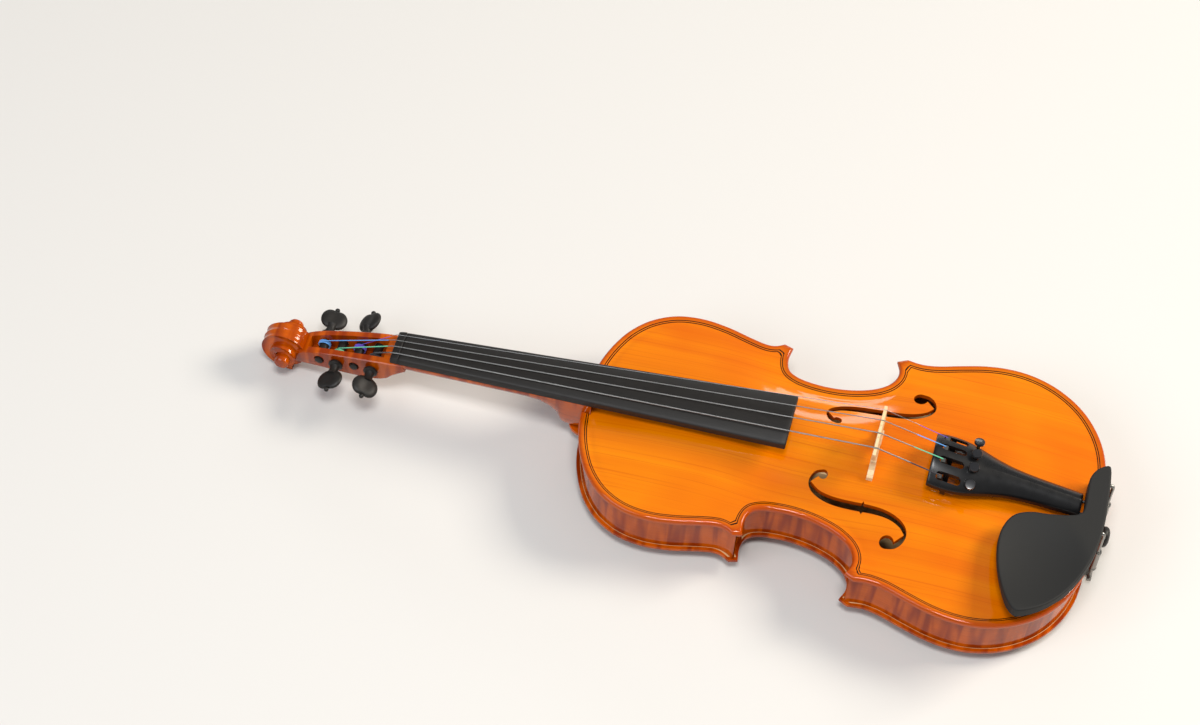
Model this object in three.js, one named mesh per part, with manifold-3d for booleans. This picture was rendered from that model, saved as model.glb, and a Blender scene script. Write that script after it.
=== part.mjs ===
// A half-size violin with its four strings, moulded tailpiece with built-in fine tuners, and chinrest.
//
// Millimetres, +Z up, lying on its back. While it is being built, x = 0 is the middle of the body's
// length, +X points to the tail, +Y to the treble (E string) side, and z = 0 is the upper face of the
// top plate's edge. The last lines move everything so that the origin is the bottom centre of the box.
import * as THREE from 'three';
import { mergeVertices } from 'three/addons/utils/BufferGeometryUtils.js';
import Module from 'manifold-3d';

const wasm = await Module();
wasm.setup();

// ---- driving dimensions -------------------------------------------------------------------------
const GAP = 0.3;                    // clearance left between pieces that touch
const BODY_END = 156;               // half of the 312 mm body
const EDGE_THICKNESS = 3.6;         // both plates, at the edge
const RIB_HEIGHT = 27;
const RIB_THICKNESS = 1.1;
const OVERHANG = 2.4;               // plate edge beyond the ribs
const TOP_RISE = 10.4;              // top arch above its own edge
const BACK_RISE = 9.4;              // back arch below its own edge, where it is flattened to lie still
const BACK_FULL_RISE = 9.9;         // what the back arch would reach without that flat spot
const PLATE_THICKNESS = 3.0;        // in the middle of the plates
const BLOCK_HALF_WIDTH = 24;        // neck and end blocks
const LINING = { width: 1.6, height: 5 };

const STOP_X = 20;                  // middle of the bridge
const STRING_AT_NUT = 4.57;         // string spacing at the nut
const STRING_AT_BRIDGE = 9.2;       // string spacing at the bridge
const NUT_X = -270;                 // where the strings leave the nut
const NUT_LENGTH = 5;
const BOARD_END_X = -31.7;
const BOARD_NUT_HALF = 10.5;
const BOARD_END_HALF = 18;
const BOARD_EDGE = 5;               // thickness of the fingerboard at its edges
const BOARD_RADIUS = 42;
const BOARD_NUT_Z = 2.5;            // fingerboard's upper edge at the nut
const BOARD_END_Z = 24.6;           // and at its free end
const ROOT_X = -149.5;              // how far the neck root goes into the body

const PEGBOX_TILT = THREE.MathUtils.degToRad(11);
const SCROLL_REACH = 70;            // nut to the scroll's eye
const SCROLL_DROP = 8;              // the eye below the line of the pegbox's front
const SCROLL_RADIUS = 18.5;
const PEG_RADIUS = 3;
const PEG_DROP = 8;

const TAIL_FRONT_X = 52.5;
const TAIL_BACK_X = 143.3;
const TUNER_X = 77.5;
const LEVER_PIVOT_X = 63;
const PIN_RADIUS = 0.8;

const BUTTON_Z = -EDGE_THICKNESS - RIB_HEIGHT / 2;
const BUTTON_HOLE = 3.8;            // radius of the hole for the end button's stem
const CLAMP_X = 159.4;              // line of the chinrest's two rods, behind the tail
const CLAMP_HALF = 17;              // half of the distance between them

// Each string: place across the violin, counted in string spacings from the middle, its radius,
// the distance of its peg from the nut, the side that the peg's head is on, and how the peg is turned.
const STRINGS = [
  { name: 'e', across: 1.5, radius: 0.25, pegAt: 24.5, side: 1, turned: 0.5 },
  { name: 'a', across: 0.5, radius: 0.35, pegAt: 47.5, side: 1, turned: -0.35 },
  { name: 'd', across: -0.5, radius: 0.4, pegAt: 36, side: -1, turned: 0.25 },
  { name: 'g', across: -1.5, radius: 0.45, pegAt: 13, side: -1, turned: -0.6 },
];

// Half outline of the plates, from the neck end round to the tail end, as three smooth curves that
// leave a short straight face at each corner.
const UPPER_BOUT = [
  [-156, 0], [-155.4, 13], [-153.3, 27], [-148.5, 41], [-141.5, 53.5], [-131, 64.3],
  [-117, 71.6], [-101, 74], [-85, 72.4], [-70, 68.8], [-60, 66.8], [-54, 67.4], [-49, 70.2],
];
const WAIST = [
  [-43.6, 68.6], [-44.6, 60], [-42.4, 52.4], [-36.5, 48.7], [-28, 47.1], [-18, 46.8], [-8, 47.8],
  [2, 50.2], [11, 54], [17.8, 59.2], [21.5, 65.5], [21.7, 71.5], [19.3, 77.3],
];
const LOWER_BOUT = [
  [25, 80.2], [34, 79.3], [44, 80.9], [58, 85.3], [72, 89.2], [86, 91.2], [100, 90.3], [114, 86.4],
  [127, 79.4], [138, 69.9], [147, 57.2], [152.8, 43], [155.3, 27], [156, 0],
];

// ---- materials ----------------------------------------------------------------------------------
function finish(color, roughness, metalness = 0) {
  return new THREE.MeshStandardMaterial({ color, roughness, metalness });
}
const spruce = finish(0xff9010, 0.3);
const maple = finish(0xd8600c, 0.3);
const bareWood = finish(0xdcb888, 0.8);
const bridgeWood = finish(0xe6c795, 0.6);
const blackWood = finish(0x1c1a19, 0.55);
const moulded = finish(0x151515, 0.35);
const chinPlastic = finish(0x33332f, 0.6);
const steel = finish(0xb8bcc0, 0.3, 1);
const brass = finish(0xc9a45c, 0.35, 1);

// ---- solids -------------------------------------------------------------------------------------
function toSolid(geometry) {
  const bare = geometry.clone();
  bare.deleteAttribute('normal');
  bare.deleteAttribute('uv');
  const merged = mergeVertices(bare, 1e-4);
  const vertProperties = new Float32Array(merged.attributes.position.array);
  const triVerts = new Uint32Array(merged.index.array);
  return new wasm.Manifold(new wasm.Mesh({ numProp: 3, vertProperties, triVerts }));
}

function toGeometry(solid) {
  const mesh = solid.getMesh();
  const geometry = new THREE.BufferGeometry();
  geometry.setAttribute('position', new THREE.BufferAttribute(new Float32Array(mesh.vertProperties), 3));
  geometry.setIndex(new THREE.BufferAttribute(new Uint32Array(mesh.triVerts), 1));
  return geometry;
}

function cut(geometry, ...tools) {
  return toGeometry(tools.reduce((solid, tool) => solid.subtract(toSolid(tool)), toSolid(geometry)));
}

function join(geometry, ...others) {
  return toGeometry(others.reduce((solid, other) => solid.add(toSolid(other)), toSolid(geometry)));
}

function common(geometry, other) {
  return toGeometry(toSolid(geometry).intersect(toSolid(other)));
}

function box(low, high) {
  const size = high.map((value, i) => value - low[i]);
  const middle = high.map((value, i) => (value + low[i]) / 2);
  return new THREE.BoxGeometry(...size).translate(...middle);
}

function upright(radius, low, high, x, y, sides = 12) {
  const rod = new THREE.CylinderGeometry(radius, radius, high - low, sides);
  return rod.rotateX(Math.PI / 2).translate(x, y, (low + high) / 2);
}

// Plan outline (points [x, y]) raised from low to high.
function prism(points, low, high) {
  const shape = new THREE.Shape(points.map(([x, y]) => new THREE.Vector2(x, y)));
  const solid = new THREE.ExtrudeGeometry(shape, { depth: high - low, bevelEnabled: false });
  return solid.translate(0, 0, low);
}

// Skin over rings of points [x, y, z] that all have the same count, with both ends closed.
function loft(rings) {
  const count = rings[0].length;
  const triangles = [];
  for (let i = 0; i + 1 < rings.length; i += 1) {
    for (let j = 0; j < count; j += 1) {
      const k = (j + 1) % count;
      const [a, b, c, d] = [i * count + j, i * count + k, (i + 1) * count + k, (i + 1) * count + j];
      triangles.push(a, b, c, a, c, d);
    }
  }
  const last = (rings.length - 1) * count;
  for (const [ring, offset, turned] of [[rings[0], 0, true], [rings.at(-1), last, false]]) {
    for (const [a, b, c] of capTriangles(ring)) {
      triangles.push(offset + a, offset + (turned ? c : b), offset + (turned ? b : c));
    }
  }
  const geometry = new THREE.BufferGeometry();
  geometry.setAttribute('position', new THREE.Float32BufferAttribute(rings.flat(2), 3));
  geometry.setIndex(triangles);
  return facingOut(geometry);
}

// Triangles over one flat ring, wound the way that the ring itself runs.
function capTriangles(ring) {
  const points = ring.map((p) => new THREE.Vector3(...p));
  const normal = new THREE.Vector3();
  points.forEach((p, i) => {
    normal.add(new THREE.Vector3().crossVectors(p, points[(i + 1) % points.length]));
  });
  normal.normalize();
  const along = points[1].clone().sub(points[0]).normalize();
  const up = new THREE.Vector3().crossVectors(normal, along);
  const flat = points.map((p) => new THREE.Vector2(p.dot(along), p.dot(up)));
  return THREE.ShapeUtils.triangulateShape(flat, []);
}

function facingOut(geometry) {
  const place = geometry.attributes.position;
  const index = geometry.index.array;
  let volume = 0;
  const corner = [0, 1, 2].map(() => new THREE.Vector3());
  for (let i = 0; i < index.length; i += 3) {
    corner.forEach((v, j) => v.fromBufferAttribute(place, index[i + j]));
    volume += corner[0].dot(corner[1].clone().cross(corner[2]));
  }
  if (volume < 0) {
    for (let i = 0; i < index.length; i += 3) {
      [index[i + 1], index[i + 2]] = [index[i + 2], index[i + 1]];
    }
  }
  return geometry;
}

// Round wire through points, bending sharply at each of them.
function wire(points, radius, sides = 6) {
  const places = points.map((p) => new THREE.Vector3(...p));
  const rings = places.map((place, i) => {
    const before = places[Math.max(i - 1, 0)];
    const after = places[Math.min(i + 1, places.length - 1)];
    const ahead = after.clone().sub(before).normalize();
    const side = new THREE.Vector3().crossVectors(ahead, new THREE.Vector3(0, 0, 1)).normalize();
    const up = new THREE.Vector3().crossVectors(side, ahead);
    return Array.from({ length: sides }, (_, j) => {
      const turn = (j / sides) * 2 * Math.PI;
      const spoke = side.clone().multiplyScalar(Math.cos(turn)).addScaledVector(up, Math.sin(turn));
      return place.clone().addScaledVector(spoke, radius).toArray();
    });
  });
  return loft(rings);
}

// ---- outline of the body ------------------------------------------------------------------------
function smooth(points, pieces) {
  const curve = new THREE.SplineCurve(points.map(([x, y]) => new THREE.Vector2(x, y)));
  return curve.getSpacedPoints(pieces).map((p) => [p.x, p.y]);
}

const bouts = {
  upper: smooth(UPPER_BOUT, 17),
  waist: smooth(WAIST, 16),
  lower: smooth(LOWER_BOUT, 19),
};

function mirrored(points) {
  return points.map(([x, y]) => [x, -y]).reverse();
}

function plateOutline() {
  const half = [...bouts.upper.slice(1), ...bouts.waist, ...bouts.lower.slice(0, -1)];
  return [bouts.upper[0], ...half, bouts.lower.at(-1), ...mirrored(half)];
}

// The same curve moved inwards, and run a little past both of its ends.
function inset(points, distance, beyond = 3) {
  const tangent = (i) => {
    const [x0, y0] = points[Math.max(i - 1, 0)];
    const [x1, y1] = points[Math.min(i + 1, points.length - 1)];
    const length = Math.hypot(x1 - x0, y1 - y0);
    return [(x1 - x0) / length, (y1 - y0) / length];
  };
  const moved = points.map(([x, y], i) => {
    const [tx, ty] = tangent(i);
    return [x + distance * ty, y - distance * tx];
  });
  const [ax, ay] = tangent(0);
  const [bx, by] = tangent(points.length - 1);
  const [first, last] = [moved[0], moved.at(-1)];
  const before = [first[0] - beyond * ax, first[1] - beyond * ay];
  const after = [last[0] + beyond * bx, last[1] + beyond * by];
  return [before, ...moved, after];
}

// A corner between two bouts: the line on which the ribs are mitred, and the face of the corner.
function cornerBetween(first, second) {
  const a = inset(first, OVERHANG);
  const b = inset(second, OVERHANG);
  const [p, q] = [a.at(-2), b[1]];
  const [u, v] = [direction(a.at(-2), a.at(-1)), direction(b[1], b[0])];
  const t = ((q[0] - p[0]) * v[1] - (q[1] - p[1]) * v[0]) / (u[0] * v[1] - u[1] * v[0]);
  const tip = [p[0] + t * u[0], p[1] + t * u[1]];
  const out = direction([0, 0], [u[0] + v[0], u[1] + v[1]]);
  const across = [out[1], -out[0]];
  return { out, across, mitre: tip[0] * across[0] + tip[1] * across[1], end: dot(tip, out) - 1 };
}

function direction(from, to) {
  const length = Math.hypot(to[0] - from[0], to[1] - from[1]);
  return [(to[0] - from[0]) / length, (to[1] - from[1]) / length];
}

function dot(a, b) {
  return a[0] * b[0] + a[1] * b[1];
}

const upperCorner = cornerBetween(bouts.upper, bouts.waist);
const lowerCorner = cornerBetween(bouts.waist, bouts.lower);

// Tool that trims a bout's strip at a corner: all beyond the mitre line, and all beyond the face.
function cornerKnife(corner, keepsFirst) {
  const way = keepsFirst ? 1 : -1;
  const near = corner.mitre - (way * GAP) / 2;
  const far = corner.mitre + way * 16;
  const other = corner.mitre - way * 16;
  const [inside, face, outside] = [corner.end - 22, corner.end, corner.end + 12];
  const outline = [
    [near, inside], [far, inside], [far, outside], [other, outside], [other, face], [near, face],
  ];
  return outline.map(([a, o]) => [
    a * corner.across[0] + o * corner.out[0],
    a * corner.across[1] + o * corner.out[1],
  ]);
}

// ---- arching ------------------------------------------------------------------------------------
// Half-width of the arched field: a line from the upper to the lower bout, pulled in at the waist
// and closed at both ends by a superellipse.
function archHalfWidth(x) {
  const waistReach = x < -20 ? 44 : 61;
  const pull = 34 * Math.exp(-(Math.abs((x + 20) / waistReach) ** 3));
  const ends = Math.sqrt(Math.max(1 - Math.abs(x / 150) ** (x < 0 ? 9 : 6), 0));
  return (75.9 + 0.094 * x - pull) * ends;
}

// 1 at the highest point of the arch, 0 at and outside the edge of the arched field.
function arch(x, y) {
  const halfWidth = archHalfWidth(x);
  if (Math.abs(y) >= halfWidth) return 0;
  const along = (1 - Math.abs(x / 150) ** 3) ** 1.3;
  const across = (1 - (y / halfWidth) ** 2) ** 1.6;
  return along * across;
}

const topOutside = (x, y) => TOP_RISE * arch(x, y);
const topInside = (x, y) => (TOP_RISE + EDGE_THICKNESS - PLATE_THICKNESS) * arch(x, y) - EDGE_THICKNESS;
const BACK_INNER_Z = -EDGE_THICKNESS - RIB_HEIGHT;
const BACK_OUTER_Z = BACK_INNER_Z - EDGE_THICKNESS;
const backOutside = (x, y) => BACK_OUTER_Z - Math.min(BACK_FULL_RISE * arch(x, y), BACK_RISE);
const backInside = (x, y) => BACK_INNER_Z - (BACK_RISE + EDGE_THICKNESS - PLATE_THICKNESS) * arch(x, y);

// Block between two curved faces over a rectangle that is larger than the body. Its grid lines
// across the body stand closer together where the arch is steep or narrow.
const SLAB_ACROSS = [-96, -78, -62, -49, -37, -25, -14, -6, 6, 14, 25, 37, 49, 62, 78, 96];
const SLAB_HALF_LENGTH = 168;

function curvedSlab(upper, lower) {
  const across = SLAB_ACROSS;
  const stations = 24;
  const row = (x) => [
    ...across.map((y) => [x, y, upper(x, y)]),
    ...across.map((y) => [x, y, lower(x, y)]).reverse(),
  ];
  const places = Array.from({ length: stations + 1 }, (_, i) => SLAB_HALF_LENGTH * ((2 * i) / stations - 1));
  const count = across.length;
  const points = places.flatMap(row);
  const triangles = [];
  const quad = (a, b, c, d) => triangles.push(a, b, c, a, c, d);
  for (let i = 0; i < stations; i += 1) {
    for (let j = 0; j < 2 * count; j += 1) {
      const k = (j + 1) % (2 * count);
      const [low, high] = [i * 2 * count, (i + 1) * 2 * count];
      quad(low + j, low + k, high + k, high + j);
    }
  }
  for (let j = 0; j + 1 < count; j += 1) {
    const other = 2 * count - 1 - j;
    const far = stations * 2 * count;
    quad(j, other, other - 1, j + 1);
    quad(far + j, far + j + 1, far + other - 1, far + other);
  }
  const geometry = new THREE.BufferGeometry();
  geometry.setAttribute('position', new THREE.Float32BufferAttribute(points.flat(), 3));
  geometry.setIndex(triangles);
  return facingOut(geometry);
}

// ---- sound holes --------------------------------------------------------------------------------
const UPPER_EYE = { x: -6.8, y: 19.7, radius: 2.8 };
const LOWER_EYE = { x: 38.4, y: 51.9, radius: 4.2 };

function eyeArc(eye, from, to, steps) {
  return Array.from({ length: steps + 1 }, (_, i) => {
    const turn = THREE.MathUtils.degToRad(from + ((to - from) * i) / steps);
    return [eye.x + eye.radius * Math.cos(turn), eye.y + eye.radius * Math.sin(turn)];
  });
}

// One f-hole on the treble side: upper eye, outer edge of the stem, lower eye, inner edge of the stem.
function soundHole() {
  const outerEdge = smooth([
    [-6.8, 16.9], [-11.6, 18.9], [-14.1, 24.4], [-12.2, 29.6], [-6, 33.6], [3, 35.9], [15, 36.7],
    [28, 36.9], [37, 38.4], [43.6, 41.7], [47.3, 45.9],
  ], 18);
  const innerEdge = smooth([
    [38.4, 56.1], [43.4, 55.1], [47.2, 51.3], [48.7, 45.4], [46.2, 39.8], [40.5, 35.6], [33, 33],
    [24, 31.9], [12, 31.6], [2, 31], [-6.5, 29.2], [-12.9, 25.2],
  ], 20);
  const upperArc = eyeArc(UPPER_EYE, 145, -90, 9);
  const lowerArc = eyeArc(LOWER_EYE, -12, -270, 10);
  return [...upperArc, ...outerEdge.slice(1), ...lowerArc, ...innerEdge.slice(1)];
}

// ---- neck root, shared by the neck and by the pieces that it is let into ------------------------
function boardSlope(x) {
  return (x - NUT_X) / (BOARD_END_X - NUT_X);
}
const boardHalf = (x) => THREE.MathUtils.lerp(BOARD_NUT_HALF, BOARD_END_HALF, boardSlope(x));
const boardEdgeZ = (x) => THREE.MathUtils.lerp(BOARD_NUT_Z, BOARD_END_Z, boardSlope(x));
const neckTopZ = (x) => boardEdgeZ(x) - BOARD_EDGE - GAP;
const HEEL_Z = BACK_INNER_Z + GAP;

// Cross-section of the neck at x: flat above, rounded below; full runs from 0 (neck) to 1 (heel).
function neckSection(x, bottom, full, grow = 0) {
  const top = neckTopZ(x) + grow;
  const half = boardHalf(x) + grow;
  const sides = 12;
  return Array.from({ length: sides + 1 }, (_, i) => {
    const turn = (Math.PI * i) / sides;
    const power = THREE.MathUtils.lerp(1, 0.55, full);
    const wide = Math.sign(Math.cos(turn)) * Math.abs(Math.cos(turn)) ** power;
    const deep = Math.sin(turn) ** THREE.MathUtils.lerp(1, 0.9, full);
    const narrowing = 1 - 0.36 * full * deep;
    return [x, half * wide * narrowing, top - (top - bottom + grow) * deep];
  });
}

function neckRoot(grow) {
  const from = -BODY_END - 10;
  return loft([neckSection(from, HEEL_Z, 1, grow), neckSection(ROOT_X + grow, HEEL_Z, 1, grow)]);
}

// ---- the body -----------------------------------------------------------------------------------
function topPlate() {
  const outline = prism(plateOutline(), -20, 30);
  const plate = common(curvedSlab(topOutside, topInside), outline);
  const hole = soundHole();
  const saddleSeat = box([149, -14.3, -10], [160, 14.3, 10]);
  return cut(plate, prism(hole, -20, 30), prism(mirrored(hole), -20, 30), neckRoot(GAP), saddleSeat);
}

function backPlate() {
  const outline = prism(plateOutline(), -60, -20);
  const button = upright(9.2, -60, -20, -BODY_END + 0.4, 0, 24);
  return common(curvedSlab(backInside, backOutside), join(outline, button));
}

// Strip that follows a bout between two insets.
function band(points, outer, inner) {
  return [...inset(points, outer), ...inset(points, inner).reverse()];
}

const ribTop = -EDGE_THICKNESS - GAP;
const ribBottom = BACK_INNER_Z + GAP;
const RIB_OUTER = OVERHANG;
const RIB_INNER = OVERHANG + RIB_THICKNESS;

function buttonHole() {
  const drill = new THREE.CylinderGeometry(BUTTON_HOLE, BUTTON_HOLE, 60, 14).rotateZ(Math.PI / 2);
  return drill.translate(BODY_END, 0, BUTTON_Z);
}

function tool(points, side) {
  const ordered = THREE.ShapeUtils.isClockWise(points.map((p) => new THREE.Vector2(...p)));
  const outline = ordered ? [...points].reverse() : points;
  return prism(side > 0 ? outline : mirrored(outline), -60, 30);
}

function rib(bout, side) {
  const outline = band(bouts[bout], RIB_OUTER, RIB_INNER);
  const strip = prism(side > 0 ? outline : mirrored(outline), ribBottom, ribTop);
  const otherHalf = tool([[-200, GAP / 2], [200, GAP / 2], [200, -50], [-200, -50]], side);
  if (bout === 'upper') {
    return cut(strip, neckRoot(GAP), otherHalf, tool(cornerKnife(upperCorner, true), side));
  }
  if (bout === 'lower') {
    return cut(strip, buttonHole(), otherHalf, tool(cornerKnife(lowerCorner, false), side));
  }
  return cut(strip, tool(cornerKnife(upperCorner, false), side), tool(cornerKnife(lowerCorner, true), side));
}

const BLOCK_FACE = RIB_INNER + GAP;
const UPPER_BLOCK_ENDS = { before: -62, after: 52 };
const LOWER_BLOCK_ENDS = { before: 58, after: 41 };

// The part of a line before a measure of its points passes a limit, ended exactly at that limit.
function upTo(points, measure, limit) {
  const past = points.findIndex((p) => measure(p) > limit);
  if (past < 1) return points;
  const [from, to] = [points[past - 1], points[past]];
  const share = (limit - measure(from)) / (measure(to) - measure(from));
  return [...points.slice(0, past), from.map((value, i) => value + share * (to[i] - value))];
}

// Block in a corner: what lies inside both ribs, up to a straight face.
function blockAtCorner(name, side) {
  const upper = name === 'upper';
  const corner = upper ? upperCorner : lowerCorner;
  const [first, second] = upper ? [bouts.upper, bouts.waist] : [bouts.waist, bouts.lower];
  const inFirst = ([x, y]) => (upper ? x > UPPER_BLOCK_ENDS.before : x > 0 && y > LOWER_BLOCK_ENDS.before);
  const inSecond = ([x, y]) => (upper ? x < 0 && y > UPPER_BLOCK_ENDS.after : x < LOWER_BLOCK_ENDS.after);
  const outwards = (p) => dot(p, corner.out);
  const across = (p) => dot(p, corner.across);
  const before = inset(first, BLOCK_FACE).filter(inFirst);
  const after = inset(second, BLOCK_FACE).filter(inSecond).reverse();
  const outline = [
    ...upTo(upTo(before, outwards, corner.end), across, corner.mitre - GAP),
    ...upTo(upTo(after, outwards, corner.end), (p) => -across(p), -corner.mitre - GAP).reverse(),
  ];
  return prism(side > 0 ? outline : mirrored(outline), ribBottom, ribTop);
}

function endBlock(atNeck) {
  const bout = atNeck ? bouts.upper : bouts.lower;
  const half = inset(bout, BLOCK_FACE, 0).filter(([, y]) => y > 1 && y < BLOCK_HALF_WIDTH);
  const face = atNeck ? [-137, BLOCK_HALF_WIDTH] : [139, BLOCK_HALF_WIDTH];
  const ordered = atNeck ? [...half, face] : [face, ...half];
  const block = prism([...ordered, ...mirrored(ordered)], ribBottom, ribTop);
  return atNeck ? cut(block, neckRoot(GAP)) : cut(block, buttonHole());
}

// Lining: a strip inside a rib, between the blocks, along the top or the back.
function lining(bout, side, atTop) {
  const outer = BLOCK_FACE;
  const between = ([x, y]) => {
    if (bout === 'upper') return y > BLOCK_HALF_WIDTH + 2 && x < UPPER_BLOCK_ENDS.before - 1;
    if (bout === 'lower') return y > BLOCK_HALF_WIDTH + 2 && x > LOWER_BLOCK_ENDS.after + 1;
    return (x < 0 ? y < UPPER_BLOCK_ENDS.after - 1 : y < LOWER_BLOCK_ENDS.before - 1);
  };
  const line = inset(bouts[bout], outer, 0).slice(1, -1).filter(between);
  const inner = inset(line, LINING.width, 0).slice(1, -1);
  const outline = [...line, ...inner.reverse()];
  const low = atTop ? ribTop - LINING.height : ribBottom;
  const high = atTop ? ribTop : ribBottom + LINING.height;
  return prism(side > 0 ? outline : mirrored(outline), low, high);
}

function bassBar() {
  const halfLength = 118;
  const halfWidth = 2.2;
  const middle = -15.5;
  const stations = 12;
  return loft(Array.from({ length: stations + 1 }, (_, i) => {
    const x = -halfLength + (2 * halfLength * i) / stations;
    const deep = 2 + 7 * (1 - (x / halfLength) ** 2);
    const corners = [[-halfWidth, 0], [halfWidth, 0], [halfWidth, 1], [-halfWidth, 1]];
    return corners.map(([aside, below]) => {
      const y = middle + aside;
      return [x, y, topInside(x, y) - 2 * GAP - deep * below];
    });
  }));
}

function soundPost() {
  const [x, y, radius] = [STOP_X + 6, 14, 2.6];
  const low = backInside(x, y) + 2 * GAP;
  const high = topInside(x, y + radius) - 2 * GAP;
  return upright(radius, low, high, x, y, 12);
}

function saddle() {
  const profile = [[-14, -3.2], [14, -3.2], [14, 2.2], [10, 3.9], [-10, 3.9], [-14, 2.2]];
  const shape = new THREE.Shape(profile.map(([y, z]) => new THREE.Vector2(y, z)));
  const piece = new THREE.ExtrudeGeometry(shape, { depth: 6.2, bevelEnabled: false });
  return piece.rotateX(Math.PI / 2).rotateZ(Math.PI / 2).translate(149.3, 0, 0);
}

// ---- neck, pegbox and scroll, carved from one piece of maple ------------------------------------
// Pegbox places are given as [distance from the nut, height above the line of the pegbox's front].
const PEGBOX_X = NUT_X - NUT_LENGTH - GAP;
const PEGBOX_Z = neckTopZ(PEGBOX_X);

function atPegbox(geometry) {
  return geometry.rotateY(-PEGBOX_TILT).translate(PEGBOX_X, 0, PEGBOX_Z);
}

function pegboxPoint(reach, y, height) {
  const [c, s] = [Math.cos(PEGBOX_TILT), Math.sin(PEGBOX_TILT)];
  return [PEGBOX_X - reach * c - height * s, y, PEGBOX_Z - reach * s + height * c];
}

// Outside of the pegbox: [distance from the nut, half-width, front, back].
const PEGBOX_SECTIONS = [
  [-8, 10.6, -1, -9], [0, 11.1, 0, -13], [6, 11.1, 0.3, -17.5], [15, 10.8, 0.4, -19.6],
  [30, 9.9, 0, -19.2], [45, 8.9, -1, -17.8], [56, 8.0, -3, -17], [64, 6.8, -7, -18],
];

function pegboxHalfWidth(reach) {
  const next = PEGBOX_SECTIONS.findIndex(([at]) => at >= reach);
  const [[a, wa], [b, wb]] = [PEGBOX_SECTIONS[next - 1], PEGBOX_SECTIONS[next]];
  return wa + ((wb - wa) * (reach - a)) / (b - a);
}

function pegboxBlock() {
  return loft(PEGBOX_SECTIONS.map(([reach, half, front, back]) => {
    const rounding = 3;
    const corners = [
      [half, front], [half, back + rounding], [half - rounding, back],
      [rounding - half, back], [-half, back + rounding], [-half, front],
    ];
    return corners.map(([y, z]) => [-reach, y, z]);
  }));
}

function pegboxHollow() {
  const sections = [[5, 6.9, -14], [30, 5.9, -15], [54, 4.2, -11]];
  return loft(sections.map(([reach, half, deep]) => {
    return [[half, 6], [half, deep], [-half, deep], [-half, 6]].map(([y, z]) => [-reach, y, z]);
  }));
}

// Scroll: discs that grow narrower and stand further out towards the eye.
function scrollTurns() {
  const turns = [[SCROLL_RADIUS, 6.4, 26], [13.2, 10.6, 20], [8.2, 13.8, 16], [4.2, 16.4, 12]];
  return turns.map(([radius, half, sides]) => {
    const disc = new THREE.CylinderGeometry(radius, radius, 2 * half, sides);
    return disc.translate(-SCROLL_REACH, 0, -SCROLL_DROP);
  });
}

function neckScroll() {
  const bottoms = [
    [-275, -13.6, 0], [-262, -12.6, 0], [-232, -10.2, 0], [-202, -7.6, 0], [-188, -7.4, 0.1],
    [-181, -10, 0.3], [-175.5, -15, 0.6], [-171, -21.5, 0.85], [-167, HEEL_Z, 1], [ROOT_X, HEEL_Z, 1],
  ];
  const neck = loft(bottoms.map(([x, bottom, full]) => neckSection(x, bottom, full)));
  const holes = STRINGS.map(({ pegAt }) => {
    const drill = new THREE.CylinderGeometry(PEG_RADIUS + GAP, PEG_RADIUS + GAP, 60, 12);
    return drill.translate(-pegAt, 0, -PEG_DROP);
  });
  const head = cut(join(pegboxBlock(), ...scrollTurns()), pegboxHollow(), ...holes);
  return join(neck, atPegbox(head));
}

// Fingerboard: flat under the neck, hollowed where it hangs free over the body.
function fingerboard() {
  const section = (x, hollow) => {
    const half = boardHalf(x);
    const edge = boardEdgeZ(x);
    const rise = (y) => Math.sqrt(BOARD_RADIUS ** 2 - y ** 2);
    const crown = (y) => edge + rise(y) - rise(half);
    const above = [1, 0.75, 0.5, 0.25, 0, -0.25, -0.5, -0.75, -1].map((s) => [x, half * s, crown(half * s)]);
    const below = [-1, -0.8, -0.4, 0, 0.4, 0.8, 1].map((s) => {
      return [x, half * s, edge - BOARD_EDGE + hollow * Math.max(1 - (s / 0.8) ** 2, 0)];
    });
    return [...above, ...below];
  };
  return loft([section(NUT_X + GAP, 0), section(-147, 0), section(-141, 3.2), section(BOARD_END_X, 4)]);
}

// ---- nut and bridge: the two pieces that the strings bear on ------------------------------------
const NUT_FALL = 1.4;
const nutTop = (y) => 4.3 - (y ** 2) / (2 * BOARD_RADIUS);
const bridgeTop = (y) => 40.5 - (y ** 2) / (2 * 37);

function nut() {
  const half = BOARD_NUT_HALF - 0.3;
  const above = [1, 0.66, 0.33, 0, -0.33, -0.66, -1].map((s) => [half * s, nutTop(half * s)]);
  return loft([NUT_X, NUT_X - NUT_LENGTH].map((x, i) => {
    const base = neckTopZ(x) + GAP;
    return [...above.map(([y, z]) => [x, y, z - NUT_FALL * i]), [x, -half, base], [x, half, base]];
  }));
}

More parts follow.
